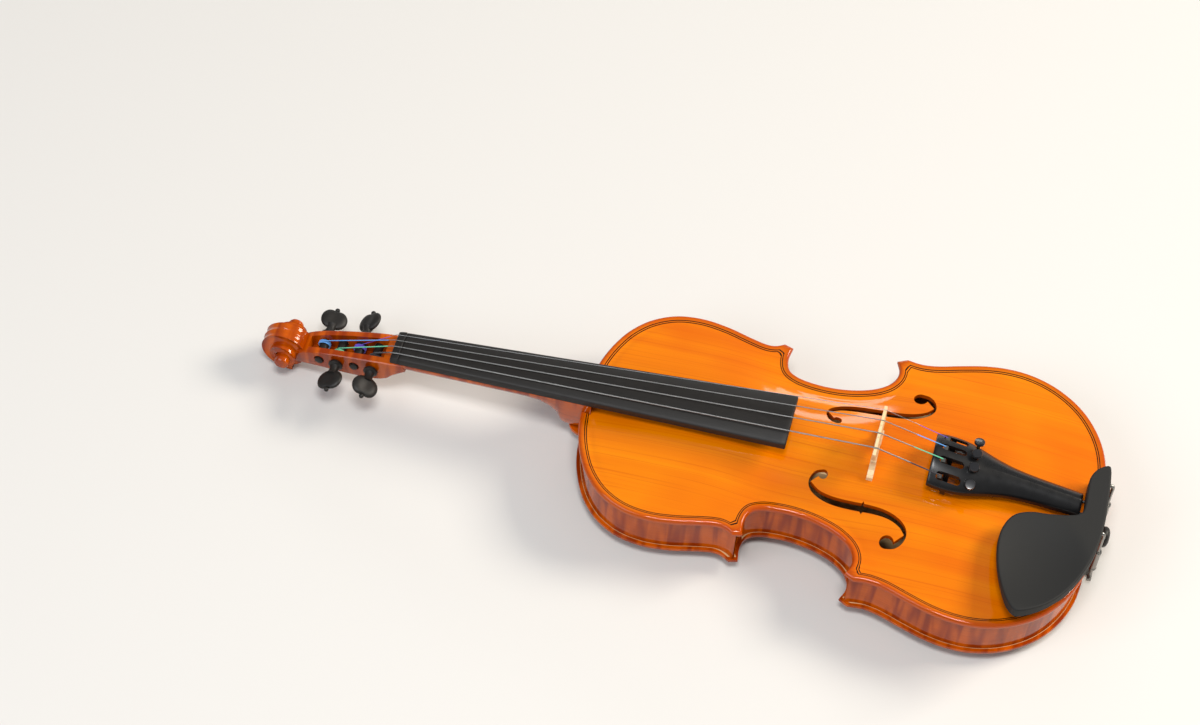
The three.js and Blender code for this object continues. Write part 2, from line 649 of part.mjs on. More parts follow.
function bridge() {
  const foot = topOutside(STOP_X, 12) + 2 * GAP;
  const flank = smooth([
    [17.6, 0.2], [17.2, 1.9], [13.4, 3.6], [11.6, 7], [11.4, 9.4], [8.2, 11], [7.2, 13.8], [9, 16.6],
    [11.8, 16.6], [13.6, 14.8], [15.4, 17.6], [16.6, 21], [17.8, 24],
  ], 20);
  const top = Array.from({ length: 9 }, (_, i) => 17.8 - (35.6 * i) / 8).map((y) => [y, bridgeTop(y) - foot]);
  const mirror = (points) => points.map(([y, z]) => [-y, z]).reverse();
  const underArch = [[7.4, 0.5], [6.4, 2.8], [4.2, 5.2], [0, 6.6]];
  const under = [...mirror(underArch), ...underArch.slice(0, -1).reverse()];
  const around = [...flank, ...top, ...mirror(flank), ...under];
  const outline = new THREE.Shape(around.map((p) => new THREE.Vector2(...p)));
  const lobe = [[0, 10.4], [2, 13.6], [4, 15.8], [4.3, 18.2], [2.6, 19.6], [0.7, 18.2]];
  const heart = [...lobe, [0, 16.8], ...mirror(lobe.slice(1))];
  outline.holes.push(new THREE.Path(heart.map((p) => new THREE.Vector2(...p))));
  const slab = new THREE.ExtrudeGeometry(outline, { depth: 1, bevelEnabled: false }).translate(0, 0, -0.5);
  slab.rotateX(Math.PI / 2).rotateZ(Math.PI / 2);
  const place = slab.attributes.position;
  const height = bridgeTop(0) - foot;
  for (let i = 0; i < place.count; i += 1) {
    const thickness = THREE.MathUtils.lerp(3.8, 1.6, place.getZ(i) / height);
    place.setX(i, place.getX(i) * thickness);
  }
  return slab.translate(STOP_X, 0, foot);
}

// ---- pegs, strings and their windings -----------------------------------------------------------
function turnedAlong(profile, sides) {
  return new THREE.LatheGeometry(profile.map(([r, y]) => new THREE.Vector2(r, y)), sides);
}

function peg({ pegAt, side, turned }) {
  const cheek = pegboxHalfWidth(pegAt);
  const profile = [
    [0, -cheek - 1.5], [2.5, -cheek - 1], [PEG_RADIUS, cheek + 0.6], [4.4, cheek + 1], [4.4, cheek + 2.6],
    [3.1, cheek + 3.4], [2.6, cheek + 6], [3.4, cheek + 9], [0, cheek + 10],
  ];
  const shaft = turnedAlong(profile, 10);
  const thumb = new THREE.SphereGeometry(1, 10, 7).scale(8.2, 6.8, 2.9).translate(0, cheek + 13.2, 0);
  const pip = new THREE.SphereGeometry(1.5, 6, 5).translate(0, cheek + 20.2, 0);
  const whole = join(shaft, thumb, pip).rotateY(turned);
  if (side < 0) whole.rotateX(Math.PI);
  return atPegbox(whole.translate(-pegAt, 0, -PEG_DROP));
}

const WINDING = { inner: PEG_RADIUS + GAP, outer: PEG_RADIUS + 1.1, from: 1.5, to: 4.0 };

function winding({ pegAt, side }) {
  const { inner, outer, from, to } = WINDING;
  const ring = turnedAlong([[inner, from], [outer, from], [outer, to], [inner, to], [inner, from]], 12);
  if (side < 0) ring.rotateX(Math.PI);
  return atPegbox(ring.translate(-pegAt, 0, -PEG_DROP));
}

function string({ across, radius, pegAt, side }) {
  const [yNut, yBridge] = [across * STRING_AT_NUT, across * STRING_AT_BRIDGE];
  const lift = radius + GAP;
  const onPeg = pegboxPoint(pegAt, side * (WINDING.from + 0.5), WINDING.outer + lift - PEG_DROP);
  const behindNut = [NUT_X - NUT_LENGTH - 0.5, yNut, nutTop(yNut) - NUT_FALL + lift + 0.2];
  const overNut = [NUT_X - 0.5, yNut, nutTop(yNut) + lift + 0.1];
  const overBridge = [STOP_X, yBridge, bridgeTop(yBridge) + lift];
  const inTail = hookPlace(across);
  return wire([onPeg, behindNut, overNut, overBridge, inTail], radius);
}

// ---- tailpiece with four built-in fine tuners ---------------------------------------------------
const TAIL_HALF_WIDTH = new THREE.SplineCurve([
  [52.5, 17.8], [58, 18.6], [66, 18.7], [74, 17.6], [82, 15.2], [90, 12.6], [100, 10.2], [112, 8.8],
  [126, 8.1], [143.3, 7.6],
].map((p) => new THREE.Vector2(...p)));

const tailShare = (x) => (x - TAIL_FRONT_X) / (TAIL_BACK_X - TAIL_FRONT_X);
const tailCrown = (x) => THREE.MathUtils.lerp(31, 15.6, tailShare(x));
const tailDrop = (x) => THREE.MathUtils.lerp(9.4, 4.2, tailShare(x) ** 0.7);

function tailHalfWidth(x) {
  let [low, high] = [0, 1];
  for (let i = 0; i < 30; i += 1) {
    const middle = (low + high) / 2;
    if (TAIL_HALF_WIDTH.getPoint(middle).x < x) low = middle;
    else high = middle;
  }
  return TAIL_HALF_WIDTH.getPoint(low).y;
}

const tailTop = (x, y) => tailCrown(x) - tailDrop(x) * (y / tailHalfWidth(x)) ** 2;
const tailAcross = (across) => across * 8.9;

function hookPlace(across) {
  const y = tailAcross(across);
  return [LEVER_PIVOT_X - 4, y, tailTop(LEVER_PIVOT_X - 4, y) + 0.2];
}

// Fine tuner frame at each string: how far its screw and lever lean outwards.
const tunerLean = (across) => -THREE.MathUtils.degToRad(12) * across;

function tailpiece() {
  const shares = [1, 0.8, 0.6, 0.35, 0, -0.35, -0.6, -0.8, -1];
  const section = (x) => {
    const half = tailHalfWidth(x);
    const [crown, drop] = [tailCrown(x), tailDrop(x)];
    const outside = shares.map((s) => [x, half * s, crown - drop * s ** 2]);
    const inside = shares.map((s) => [x, (half - 1.6) * s, crown - 3 - (drop - 1) * s ** 2]).reverse();
    return [...outside, ...inside];
  };
  const stations = [52.5, 58, 66, 74, 82, 90, 100, 112, 126, 143.3];
  const shell = loft(stations.map(section));
  const cuts = STRINGS.flatMap(({ across }) => {
    const y = tailAcross(across);
    const slot = box([57, y - 2.2, 10], [71, y + 2.2, 40]);
    const hole = screwPlace(upright(1.5, -12, 12, 0, 0, 10), across);
    return [slot, hole];
  });
  return join(cut(shell, ...cuts), ...STRINGS.flatMap(leverHinge));
}

// Two lugs that hang below the slot, with the pin that the lever turns on between them.
function leverHinge({ across }) {
  const [x, y, z] = leverPivot(across);
  const pin = new THREE.CylinderGeometry(PIN_RADIUS, PIN_RADIUS, 5, 8).translate(x, y, z);
  const lugs = [-1, 1].map((side) => {
    const middle = y + side * 2.2;
    const roof = tailTop(x, middle) - 1.5;
    return box([x - 1.8, middle - 0.5, z - 1.8], [x + 1.8, middle + 0.5, roof]);
  });
  return [...lugs, pin];
}

function screwPlace(geometry, across) {
  const y = tailAcross(across);
  return geometry.rotateX(tunerLean(across)).translate(TUNER_X, y, tailTop(TUNER_X, y));
}

// Screw with its knurled head; the part's own z = 0 is where it passes the top of the tailpiece.
function tunerScrew({ name, across }) {
  const raised = name === 'e' ? 3.2 : 1.2;
  const profile = [
    [0, -6.5], [1.1, -6.3], [1.1, raised], [2.2, raised], [3.2, raised + 0.6], [3.2, raised + 2.4],
    [2.8, raised + 2.8], [0, raised + 2.8],
  ];
  return screwPlace(turnedAlong(profile, 14).rotateX(Math.PI / 2), across);
}

// Lever under the tailpiece: an arm below the screw's tip, and a hook that stands in the slot.
function leverPivot(across) {
  const y = tailAcross(across);
  return [LEVER_PIVOT_X, y, tailTop(TUNER_X, y) - 8.4];
}

function tunerLever({ across }) {
  const [x, y, z] = leverPivot(across);
  const hook = tailTop(LEVER_PIVOT_X - 4, y) - 0.9 - z;
  const profile = [[-5.2, hook], [-5.2, hook - 3], [-2.8, 1], [-2, -2], [2, -2], [15.6, 0], [15.6, 1.4],
    [2.8, 1.6], [-0.4, 3.6], [-2.6, hook]];
  const shape = new THREE.Shape(profile.map(([a, b]) => new THREE.Vector2(a, b)));
  const piece = new THREE.ExtrudeGeometry(shape, { depth: 2.8, bevelEnabled: false }).translate(0, 0, -1.4);
  const eye = new THREE.CylinderGeometry(PIN_RADIUS + GAP, PIN_RADIUS + GAP, 10, 8);
  return cut(piece.rotateX(Math.PI / 2), eye).translate(x, y, z);
}

function tailgut() {
  const side = [[141, 4.4, 7.2], [147.5, 4.4, 7.4], [152.5, 4.6, 6.4], [157, 4.9, 4.9], [158.6, 5.1, -1],
    [158.4, 5.6, -12], [158.4, 5.4, -18.5], [158.4, 3.2, -21.9]];
  const other = side.map(([x, y, z]) => [x, -y, z]).reverse();
  const path = [...side, [158.4, 0, -23.1], ...other].map((p) => new THREE.Vector3(...p));
  const curve = new THREE.CatmullRomCurve3(path);
  const round = new THREE.Shape().absarc(0, 0, 1, 0, 2 * Math.PI);
  const sweep = { extrudePath: curve, steps: 30, curveSegments: 3, bevelEnabled: false };
  return new THREE.ExtrudeGeometry(round, sweep);
}

function endButton() {
  const profile = [[0, 0], [2.9, 0.5], [3.4, 10.6], [6.6, 11], [6.6, 12.6], [4.2, 13.4], [4, 16], [5.4, 17],
    [6.4, 18.6], [5.8, 20.6], [3.4, 21.8], [0, 22.2]];
  return turnedAlong(profile, 16).rotateZ(-Math.PI / 2).translate(143, 0, BUTTON_Z);
}

// ---- chinrest -----------------------------------------------------------------------------------
const CHINREST_OUTLINE = [
  [155.4, 24.5], [157.2, 12], [157.8, -2], [158.1, -14], [157.4, -27], [154.7, -41], [150, -53.6],
  [143.6, -65.5], [136, -75.2], [128, -81.8], [119.6, -86], [115.4, -84.6], [111.4, -79.5],
  [106.4, -68.2], [102.6, -56], [100.4, -42], [101.6, -31], [106.6, -22.6], [115.5, -18.4], [126, -17],
  [137, -14.8], [143.6, -11.4], [145, -5], [144.6, 4], [144.8, 14], [147.6, 20.6], [151.6, 24.4],
];

function chinrest() {
  const points = CHINREST_OUTLINE.map(([x, y]) => new THREE.Vector3(x, y, 0));
  const outline = new THREE.CatmullRomCurve3(points, true);
  const edge = outline.getSpacedPoints(48).slice(0, -1).map((p) => [p.x, p.y]);
  const slab = prism(edge, 10.5, 20);
  const dish = new THREE.SphereGeometry(95, 40, 24).translate(121, -50, 14.4 + 95);
  const hollowUnder = box([90, -95, 0], [140, -9, 12.2]);
  const feet = [-1, 1].flatMap((side) => [
    box([149.5, side * 19.4 - 4.6, 1.9], [154.5, side * 19.4 + 4.6, 11]),
    box([150, side * CLAMP_HALF - 2.4, 8.6], [161, side * CLAMP_HALF + 2.4, 11]),
    upright(1.1, -9.5, 10, CLAMP_X, side * CLAMP_HALF, 8),
  ]);
  return join(cut(slab, dish, hollowUnder), ...feet);
}

function clampBarrel(side) {
  const [inner, outer, half] = [1.45, 2.3, 9.5];
  const ring = [
    [inner, -half], [outer - 0.3, -half], [outer, 0.5 - half], [outer, half - 0.5],
    [outer - 0.3, half], [inner, half], [inner, -half],
  ];
  const barrel = turnedAlong(ring, 12).rotateX(Math.PI / 2);
  return barrel.translate(CLAMP_X, side * CLAMP_HALF, BUTTON_Z);
}

// Bracket under the edge of the back, with a threaded rod up into each barrel.
function clampFoot() {
  const top = BACK_OUTER_Z - 1.5;
  const bar = box([CLAMP_X - 1.4, -CLAMP_HALF - 2.4, top - 2.2], [CLAMP_X + 1.4, CLAMP_HALF + 2.4, top]);
  const shelf = box([148, -CLAMP_HALF, top - 2.2], [CLAMP_X, CLAMP_HALF, top]);
  const pad = box([148.5, -CLAMP_HALF + 0.5, top - 0.5], [154.5, CLAMP_HALF - 0.5, top + 0.8]);
  const rods = [-1, 1].map((side) => upright(1.1, top - 1, -19.5, CLAMP_X, side * CLAMP_HALF, 8));
  return join(bar, shelf, pad, ...rods);
}

// ---- assembly -----------------------------------------------------------------------------------
const violin = new THREE.Group();
violin.name = 'violin';

function add(name, geometry, material) {
  const mesh = new THREE.Mesh(geometry, material);
  mesh.name = name;
  violin.add(mesh);
}

const SIDES = [['bass', -1], ['treble', 1]];
const BOUTS = ['upper', 'waist', 'lower'];

add('top_plate', topPlate(), spruce);
add('back_plate', backPlate(), maple);
for (const [sideName, side] of SIDES) {
  for (const bout of BOUTS) {
    add(`rib_${bout}_${sideName}`, rib(bout, side), maple);
    add(`lining_top_${bout}_${sideName}`, lining(bout, side, true), bareWood);
    add(`lining_back_${bout}_${sideName}`, lining(bout, side, false), bareWood);
  }
  add(`corner_block_upper_${sideName}`, blockAtCorner('upper', side), bareWood);
  add(`corner_block_lower_${sideName}`, blockAtCorner('lower', side), bareWood);
}
add('neck_block', endBlock(true), bareWood);
add('end_block', endBlock(false), bareWood);
add('bass_bar', bassBar(), bareWood);
add('sound_post', soundPost(), bareWood);
add('neck_scroll', neckScroll(), maple);
add('fingerboard', fingerboard(), blackWood);
add('nut', nut(), blackWood);
add('saddle', saddle(), blackWood);
add('bridge', bridge(), bridgeWood);
add('tailpiece', tailpiece(), moulded);
add('tailgut', tailgut(), moulded);
add('end_button', endButton(), blackWood);
add('chinrest', chinrest(), chinPlastic);
add('chinrest_clamp_foot', clampFoot(), steel);
for (const [sideName, side] of SIDES) {
  add(`chinrest_barrel_${sideName}`, clampBarrel(side), steel);
}
for (const each of STRINGS) {
  add(`string_${each.name}`, string(each), steel);
  add(`peg_${each.name}`, peg(each), blackWood);
  add(`winding_${each.name}`, winding(each), steel);
  add(`tuner_screw_${each.name}`, tunerScrew(each), brass);
  add(`tuner_lever_${each.name}`, tunerLever(each), steel);
}

const reach = new THREE.Box3().setFromObject(violin, true);
violin.position.set(-(reach.min.x + reach.max.x) / 2, 0, -reach.min.z);

export default violin;
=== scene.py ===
"""A half-size violin on its back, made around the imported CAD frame, in the order that it is put together.

Every place inside the sections is in millimetres from the middle of the body's length: +X to the tail,
+Y to the treble side, and z = 0 at the upper face of the top plate's edge. placed() turns it into metres
in the row's frame.
"""
import math
import bmesh
import bpy
import numpy as np
from mathutils import Matrix, Vector


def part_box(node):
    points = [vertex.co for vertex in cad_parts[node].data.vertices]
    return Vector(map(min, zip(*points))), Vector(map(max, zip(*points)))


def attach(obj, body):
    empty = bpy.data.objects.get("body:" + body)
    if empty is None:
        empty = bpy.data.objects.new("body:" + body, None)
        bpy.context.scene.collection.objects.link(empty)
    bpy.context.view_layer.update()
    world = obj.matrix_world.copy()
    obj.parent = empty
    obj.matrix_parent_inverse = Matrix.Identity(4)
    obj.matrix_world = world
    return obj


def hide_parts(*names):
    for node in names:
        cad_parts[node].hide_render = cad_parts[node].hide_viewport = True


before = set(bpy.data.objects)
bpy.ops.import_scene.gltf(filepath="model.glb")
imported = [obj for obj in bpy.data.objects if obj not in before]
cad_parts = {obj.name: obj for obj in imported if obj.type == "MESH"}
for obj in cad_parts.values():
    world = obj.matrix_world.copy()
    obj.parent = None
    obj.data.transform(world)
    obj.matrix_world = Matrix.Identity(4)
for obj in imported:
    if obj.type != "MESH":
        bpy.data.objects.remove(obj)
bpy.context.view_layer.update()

# ---- where the body's middle lies in the frame ---------------------------------------------------------
# The half-size body is 312 mm long, and its plates are 3.6 mm thick at the edge. The tail end of the back
# and the underside of the top's edge give the place of its middle.
BODY_HALF = 156.0
EDGE = 3.6
ORIGIN = np.array([
    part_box("back_plate")[1].x * 1000 - BODY_HALF,
    0.0,
    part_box("top_plate")[0].z * 1000 + EDGE,
])


def placed(points):
    """Millimetres from the body's middle to metres in the row's frame."""
    return (np.asarray(points, float) + ORIGIN) / 1000


# ---- camera --------------------------------------------------------------------------------------------
# A 90 mm lens about 1.8 m away on the bass side, looking down at 56 degrees and turned by 11 degrees.
# The roll of 5 degrees lets the neck rise a little across the picture.
def look_from(place, turn, down, roll, lens):
    """Camera at the place, turned left from +Y, then tipped down, then rolled, all in degrees."""
    camera = bpy.data.objects.new("camera", bpy.data.cameras.new("camera"))
    bpy.context.scene.collection.objects.link(camera)
    turn, down, roll = map(math.radians, (turn, down, roll))
    ahead = Vector((-math.sin(turn) * math.cos(down), math.cos(turn) * math.cos(down), -math.sin(down)))
    level = ahead.cross(Vector((0, 0, 1))).normalized()
    upright = level.cross(ahead)
    right = level * math.cos(roll) + upright * math.sin(roll)
    top = right.cross(ahead)
    camera.matrix_world = Matrix((right, top, -ahead)).transposed().to_4x4()
    camera.location = placed(place)
    camera.data.lens = lens
    camera.data.clip_end = 20
    bpy.context.scene.camera = camera


look_from((36.5, -979.3, 1488.7), turn=10.72, down=55.55, roll=4.83, lens=90)


# ---- back plate ----------------------------------------------------------------------------------------
# Two matched halves of flamed maple, carved to an arch, with a button left on for the neck's heel.
# Stained red-brown and varnished. Half of the outline is three smooth curves with a short face between.
UPPER_BOUT = [
    (-156, 0), (-155.4, 13), (-153.3, 27), (-148.5, 41), (-141.5, 53.5), (-131, 64.3), (-117, 71.6),
    (-101, 74), (-85, 72.4), (-70, 68.8), (-60, 66.8), (-54, 67.4), (-49, 70.2),
]
WAIST = [
    (-43.6, 68.6), (-44.6, 60), (-42.4, 52.4), (-36.5, 48.7), (-28, 47.1), (-18, 46.8), (-8, 47.8),
    (2, 50.2), (11, 54), (17.8, 59.2), (21.5, 65.5), (21.7, 71.5), (19.3, 77.3),
]
LOWER_BOUT = [
    (25, 80.2), (34, 79.3), (44, 80.9), (58, 85.3), (72, 89.2), (86, 91.06), (100, 90.3), (114, 86.4),
    (127, 79.4), (138, 69.9), (147, 57.2), (152.8, 43), (155.3, 27), (156, 0),
]
RIB_HEIGHT = 27.0
BACK_RISE = 9.4
TOP_RISE = 10.4
MIDDLE_THICKNESS = 3.0
ARCH_HALF = 150.0


def curve_through(points, count):
    """Catmull-Rom curve through the points (each span is the cubic whose end slopes are half of the
    chord between its neighbours), cut into equal lengths."""
    p = np.asarray(points, float)
    p = np.vstack([p[:1], p, p[-1:]])
    t = np.linspace(0, 1, 40, endpoint=False)[None, :, None]
    a, b, c, d = (p[i:len(p) - 3 + i, None, :] for i in range(4))
    body = 0.5 * (2 * b + (c - a) * t + (2 * a - 5 * b + 4 * c - d) * t**2 + (3 * b - a - 3 * c + d) * t**3)
    fine = np.vstack([body.reshape(-1, p.shape[1]), p[-1:]])
    return resampled(fine, count)


def resampled(line, count):
    """The same line with its points at equal distances along it."""
    run = np.concatenate([[0], np.cumsum(np.linalg.norm(np.diff(line, axis=0), axis=1))])
    want = np.linspace(0, run[-1], count + 1)
    return np.stack([np.interp(want, run, line[:, i]) for i in range(line.shape[1])], axis=1)


def inwards(line):
    """Unit vectors at right angles to a plan line, to the right of its run: towards the body's inside."""
    along = np.gradient(line, axis=0)
    along /= np.linalg.norm(along, axis=1)[:, None]
    return np.stack([along[:, 1], -along[:, 0]], axis=1)


upper_line = curve_through(UPPER_BOUT, 84)
waist_line = curve_through(WAIST, 72)
lower_line = curve_through(LOWER_BOUT, 92)


def arch_half_width(x):
    """Half-width of the arched field: a line from bout to bout, pulled in at the waist by a bell curve,
    and closed at both ends by a superellipse."""
    waist_x, waist_depth = -20, 34
    reach = np.where(x < waist_x, 44, 61)
    pull = waist_depth * np.exp(-(np.abs((x - waist_x) / reach) ** 3))
    ends = np.sqrt(np.clip(1 - np.abs(x / ARCH_HALF) ** np.where(x < 0, 9, 6), 0, None))
    straight = 75.9 + 0.094 * x
    return np.maximum((straight - pull) * ends, 1e-6)


def arch(x, y):
    """Height of the arch from 0 to 1: (1 - |x/150|^3)^1.3 along, times (1 - (y/w)^2)^1.6 across."""
    along = np.clip(1 - np.abs(x / ARCH_HALF) ** 3, 0, 1) ** 1.3
    across = np.clip(1 - (y / arch_half_width(x)) ** 2, 0, 1) ** 1.6
    return along * across


def edge_profile(inset):
    """Height of a plate's face near its edge: rounded over at the rim, a low crest, then a hollow channel."""
    round_over = -1.5 * np.clip(1 - inset / 1.4, 0, 1) ** 2.2
    crest = 0.15 * np.exp(-((inset - 2.0) / 1.1) ** 2)
    channel = -0.75 * np.exp(-((inset - 6.2) / 2.6) ** 2)
    return round_over + crest + channel - 0.15


# Depth of the band along the edge, the depths of its rows, and for each corner the bout (0 upper, 1 waist,
# 2 lower) and the x where the band's inner line leaves the outline's course and where it joins it again.
EDGE_BAND = 8.0
EDGE_ROWS = (0, 0.15, 0.4, 0.8, 1.4, 2.2, 3.2, 4.4, 5.8, EDGE_BAND)
CORNER_RUNS = (((0, -62), (1, -37)), ((1, 10), (2, 37)))
FIELD_ROWS = 26
MIDDLE_SHORTER = 0.93


def plate_plan():
    """Plan grid of a plate: column 0 is the outline, and the rows run in to the middle line.

    Each outline point is joined to a foot on an inner line, which is the outline moved in by the band, with
    straight runs under the corners, and from there to the middle line, which is a little shorter."""
    half = np.vstack([upper_line, waist_line, lower_line])
    foot = half + EDGE_BAND * inwards(half)
    bout = np.repeat([0, 1, 2], [len(upper_line), len(waist_line), len(lower_line)])
    x = half[:, 0]
    for (first_bout, first_x), (last_bout, last_x) in CORNER_RUNS:
        first = np.flatnonzero((bout == first_bout) & (x > first_x))[0]
        last = np.flatnonzero((bout == last_bout) & (x > last_x))[0]
        foot[first:last + 1] = np.linspace(foot[first], foot[last], last + 1 - first)
    foot[[0, -1], 1] = 0
    middle = np.stack([foot[:, 0] * MIDDLE_SHORTER, np.zeros(len(foot))], axis=1)
    reach = np.linalg.norm(foot - half, axis=1)[:, None]
    near = np.array(EDGE_ROWS)[None, :]
    share = near * (1 + (reach / EDGE_BAND - 1) * (near / EDGE_BAND) ** 2) / reach
    outer = half[:, None] + (foot - half)[:, None] * share[..., None]
    field = np.linspace(0, 1, FIELD_ROWS + 1)[None, 1:, None]
    inner = foot[:, None] + (middle - foot)[:, None] * field
    grid = np.concatenate([outer, inner], axis=1)
    mirror = grid[-2:0:-1] * (1, -1)
    return np.concatenate([grid, mirror])


def distance_to_edge(plan):
    """Distance of every grid point from the outline, which is column 0 of the grid: the least of its
    distances to the outline's straight pieces, worked out in 40 blocks to save memory."""
    outline = plan[:, 0]
    start, run = outline, np.roll(outline, -1, axis=0) - outline
    flat = plan.reshape(-1, 2)
    far = np.full(len(flat), 1e9)
    length = (run**2).sum(1)
    for block in np.array_split(np.arange(len(flat)), 40):
        off = flat[block, None] - start
        share = np.clip((off * run).sum(2) / length, 0, 1)
        gap = np.linalg.norm(off - share[..., None] * run, axis=2)
        far[block] = gap.min(1)
    return far.reshape(plan.shape[:2])


def grid_mesh(name, grid, wrap_rows=False, wrap_columns=False, caps=False, uv=None):
    """Object whose faces join neighbouring points of an (n, m, 3) grid in millimetres. Rows and columns
    may close on themselves, and caps close the first and the last row with one face each."""
    n, m = grid.shape[:2]
    number = np.arange(n * m).reshape(n, m)
    if wrap_rows:
        number = np.vstack([number, number[:1]])
    if wrap_columns:
        number = np.hstack([number, number[:, :1]])
    quads = np.stack([number[:-1, :-1], number[1:, :-1], number[1:, 1:], number[:-1, 1:]], axis=2)
    faces = quads.reshape(-1, 4).tolist()
    if caps:
        faces += [number[0, :m].tolist(), number[n - 1, :m][::-1].tolist()]
    mesh = bpy.data.meshes.new(name)
    mesh.from_pydata(placed(grid).reshape(-1, 3).tolist(), [], faces)
    if uv is not None:
        layer = mesh.uv_layers.new(name="UVMap")
        corners = np.empty(len(mesh.loops), np.int32)
        mesh.loops.foreach_get("vertex_index", corners)
        layer.data.foreach_set("uv", uv.reshape(-1, 2)[corners].ravel().astype(np.float32))
    return finished(name, mesh)


SHARP_ANGLE = math.radians(35)
MERGE_WITHIN = 2e-6


def finished(name, mesh):
    """Merges doubles, turns the faces outwards, smooths all but the sharp edges and makes the object."""
    work = bmesh.new()
    work.from_mesh(mesh)
    bmesh.ops.remove_doubles(work, verts=work.verts, dist=MERGE_WITHIN)
    bmesh.ops.dissolve_degenerate(work, dist=1e-7, edges=work.edges)
    bmesh.ops.recalc_face_normals(work, faces=work.faces)
    work.to_mesh(mesh)
    work.free()
    mesh.polygons.foreach_set("use_smooth", np.ones(len(mesh.polygons), bool))
    mesh.set_sharp_from_angle(angle=SHARP_ANGLE)
    piece = bpy.data.objects.new(name, mesh)
    bpy.context.scene.collection.objects.link(piece)
    return piece


# A mark, in place of the distance from the edge, on the points of a plate's inner face.
INNER_FACE = 200.0
plan = plate_plan()
inset = distance_to_edge(plan)


def plate_mesh(name, outer_height, inner_height, edge_side):
    """Closed plate: outer face from the middle line out to the rim, down the rim, and back inside.
    edge_side is 1 where the outer face looks up and -1 where it looks down. The UV map holds the distance
    from the edge and the place along the body, in metres."""
    x, y = plan[..., 0], plan[..., 1]
    outer = np.dstack([x, y, outer_height(x, y, inset)])[:, ::-1]
    inner = np.dstack([x, y, inner_height(x, y)])[:, 1::2]
    rim_height = EDGE - 2.0
    under = np.dstack([x[:, :1], y[:, :1], outer[:, -1:, 2] - edge_side * rim_height])
    grid = np.concatenate([outer, under, inner], axis=1)
    inner_mark = np.where(inset[:, 1::2] > 3, INNER_FACE, inset[:, 1::2])
    depth = np.concatenate([inset[:, ::-1], inset[:, :1], inner_mark], axis=1)
    return grid_mesh(name, grid, wrap_rows=True, uv=np.dstack([depth, grid[..., 0]]) / 1000)


def dress_plate(plate, outside, inside):
    """Varnish on the outer face and the rim, and bare wood on the faces whose corners all carry the inner
    mark."""
    dress(plate, outside)
    plate.data.materials.append(inside)
    mesh = plate.data
    mark = np.empty(len(mesh.loops) * 2, np.float32)
    mesh.uv_layers[0].data.foreach_get("uv", mark)
    first = np.empty(len(mesh.polygons), np.int32)
    mesh.polygons.foreach_get("loop_start", first)
    least = np.maximum.reduceat(mark[0::2], first)
    mesh.polygons.foreach_set("material_index", (least > 0.98 * INNER_FACE / 1000).astype(np.int32))


BACK_INSIDE = -EDGE - RIB_HEIGHT
BACK_OUTSIDE = BACK_INSIDE - EDGE


def back_outer(x, y, edge):
    """The level outer face, less the arch and the edge's profile, both turned down."""
    return BACK_OUTSIDE - BACK_RISE * arch(x, y) - edge_profile(edge)


def back_inner(x, y):
    """The glue face, less an arch that leaves the middle 3 mm thick."""
    return BACK_INSIDE - (BACK_RISE + EDGE - MIDDLE_THICKNESS) * arch(x, y)


def joined_solid(piece, others, way):
    """Boolean of closed meshes, made final. way is UNION or DIFFERENCE."""
    for other in others:
        change = piece.modifiers.new(way, "BOOLEAN")
        change.operation = way
        change.solver = "EXACT"
        change.object = other
    mesh = bpy.data.meshes.new_from_object(piece.evaluated_get(bpy.context.evaluated_depsgraph_get()))
    piece.modifiers.clear()
    piece.data = mesh
    for other in others:
        bpy.data.objects.remove(other)
    mesh.polygons.foreach_set("use_smooth", np.ones(len(mesh.polygons), bool))
    mesh.set_sharp_from_angle(angle=SHARP_ANGLE)
    return piece


def ring_stack(name, radii, heights, centre):
    """Surface of revolution about Z: a circle of 64 points for each radius and height, with flat ends."""
    turn = np.linspace(0, 2 * np.pi, 64, endpoint=False)
    r, h = np.asarray(radii, float)[:, None], np.asarray(heights, float)[:, None]
    rings = np.dstack([r * np.cos(turn), r * np.sin(turn), np.broadcast_to(h, (len(radii), len(turn)))])
    return grid_mesh(name, rings + np.asarray(centre, float), wrap_columns=True, caps=True)


def linear(hex_colour):
    """sRGB hex to the linear colour that a shader takes."""
    part = np.array([int(hex_colour[i:i + 2], 16) / 255 for i in (0, 2, 4)])
    return (*np.where(part <= 0.04045, part / 12.92, ((part + 0.055) / 1.055) ** 2.4), 1.0)


def add_node(tree, kind, values=None, links=None, **settings):
    """Adds a node, sets its settings and its sockets' values, and links other nodes' outputs to them."""
    made = tree.nodes.new(kind)
    for key, value in settings.items():
        setattr(made, key, value)
    for socket, value in (values or {}).items():
        made.inputs[socket].default_value = value
    for socket, source in (links or {}).items():
        tree.links.new(source, made.inputs[socket])
    return made


def new_finish(name, **sockets):
    """Material with one Principled shader, whose constant sockets are set here."""
    material = bpy.data.materials.new(name)
    material.use_nodes = True
    shader = material.node_tree.nodes["Principled BSDF"]
    for socket, value in sockets.items():
        shader.inputs[socket.replace("_", " ")].default_value = value
    return material, material.node_tree, shader


def dress(piece, material):
    """Gives the piece this one material."""
    piece.data.materials.clear()
    piece.data.materials.append(material)


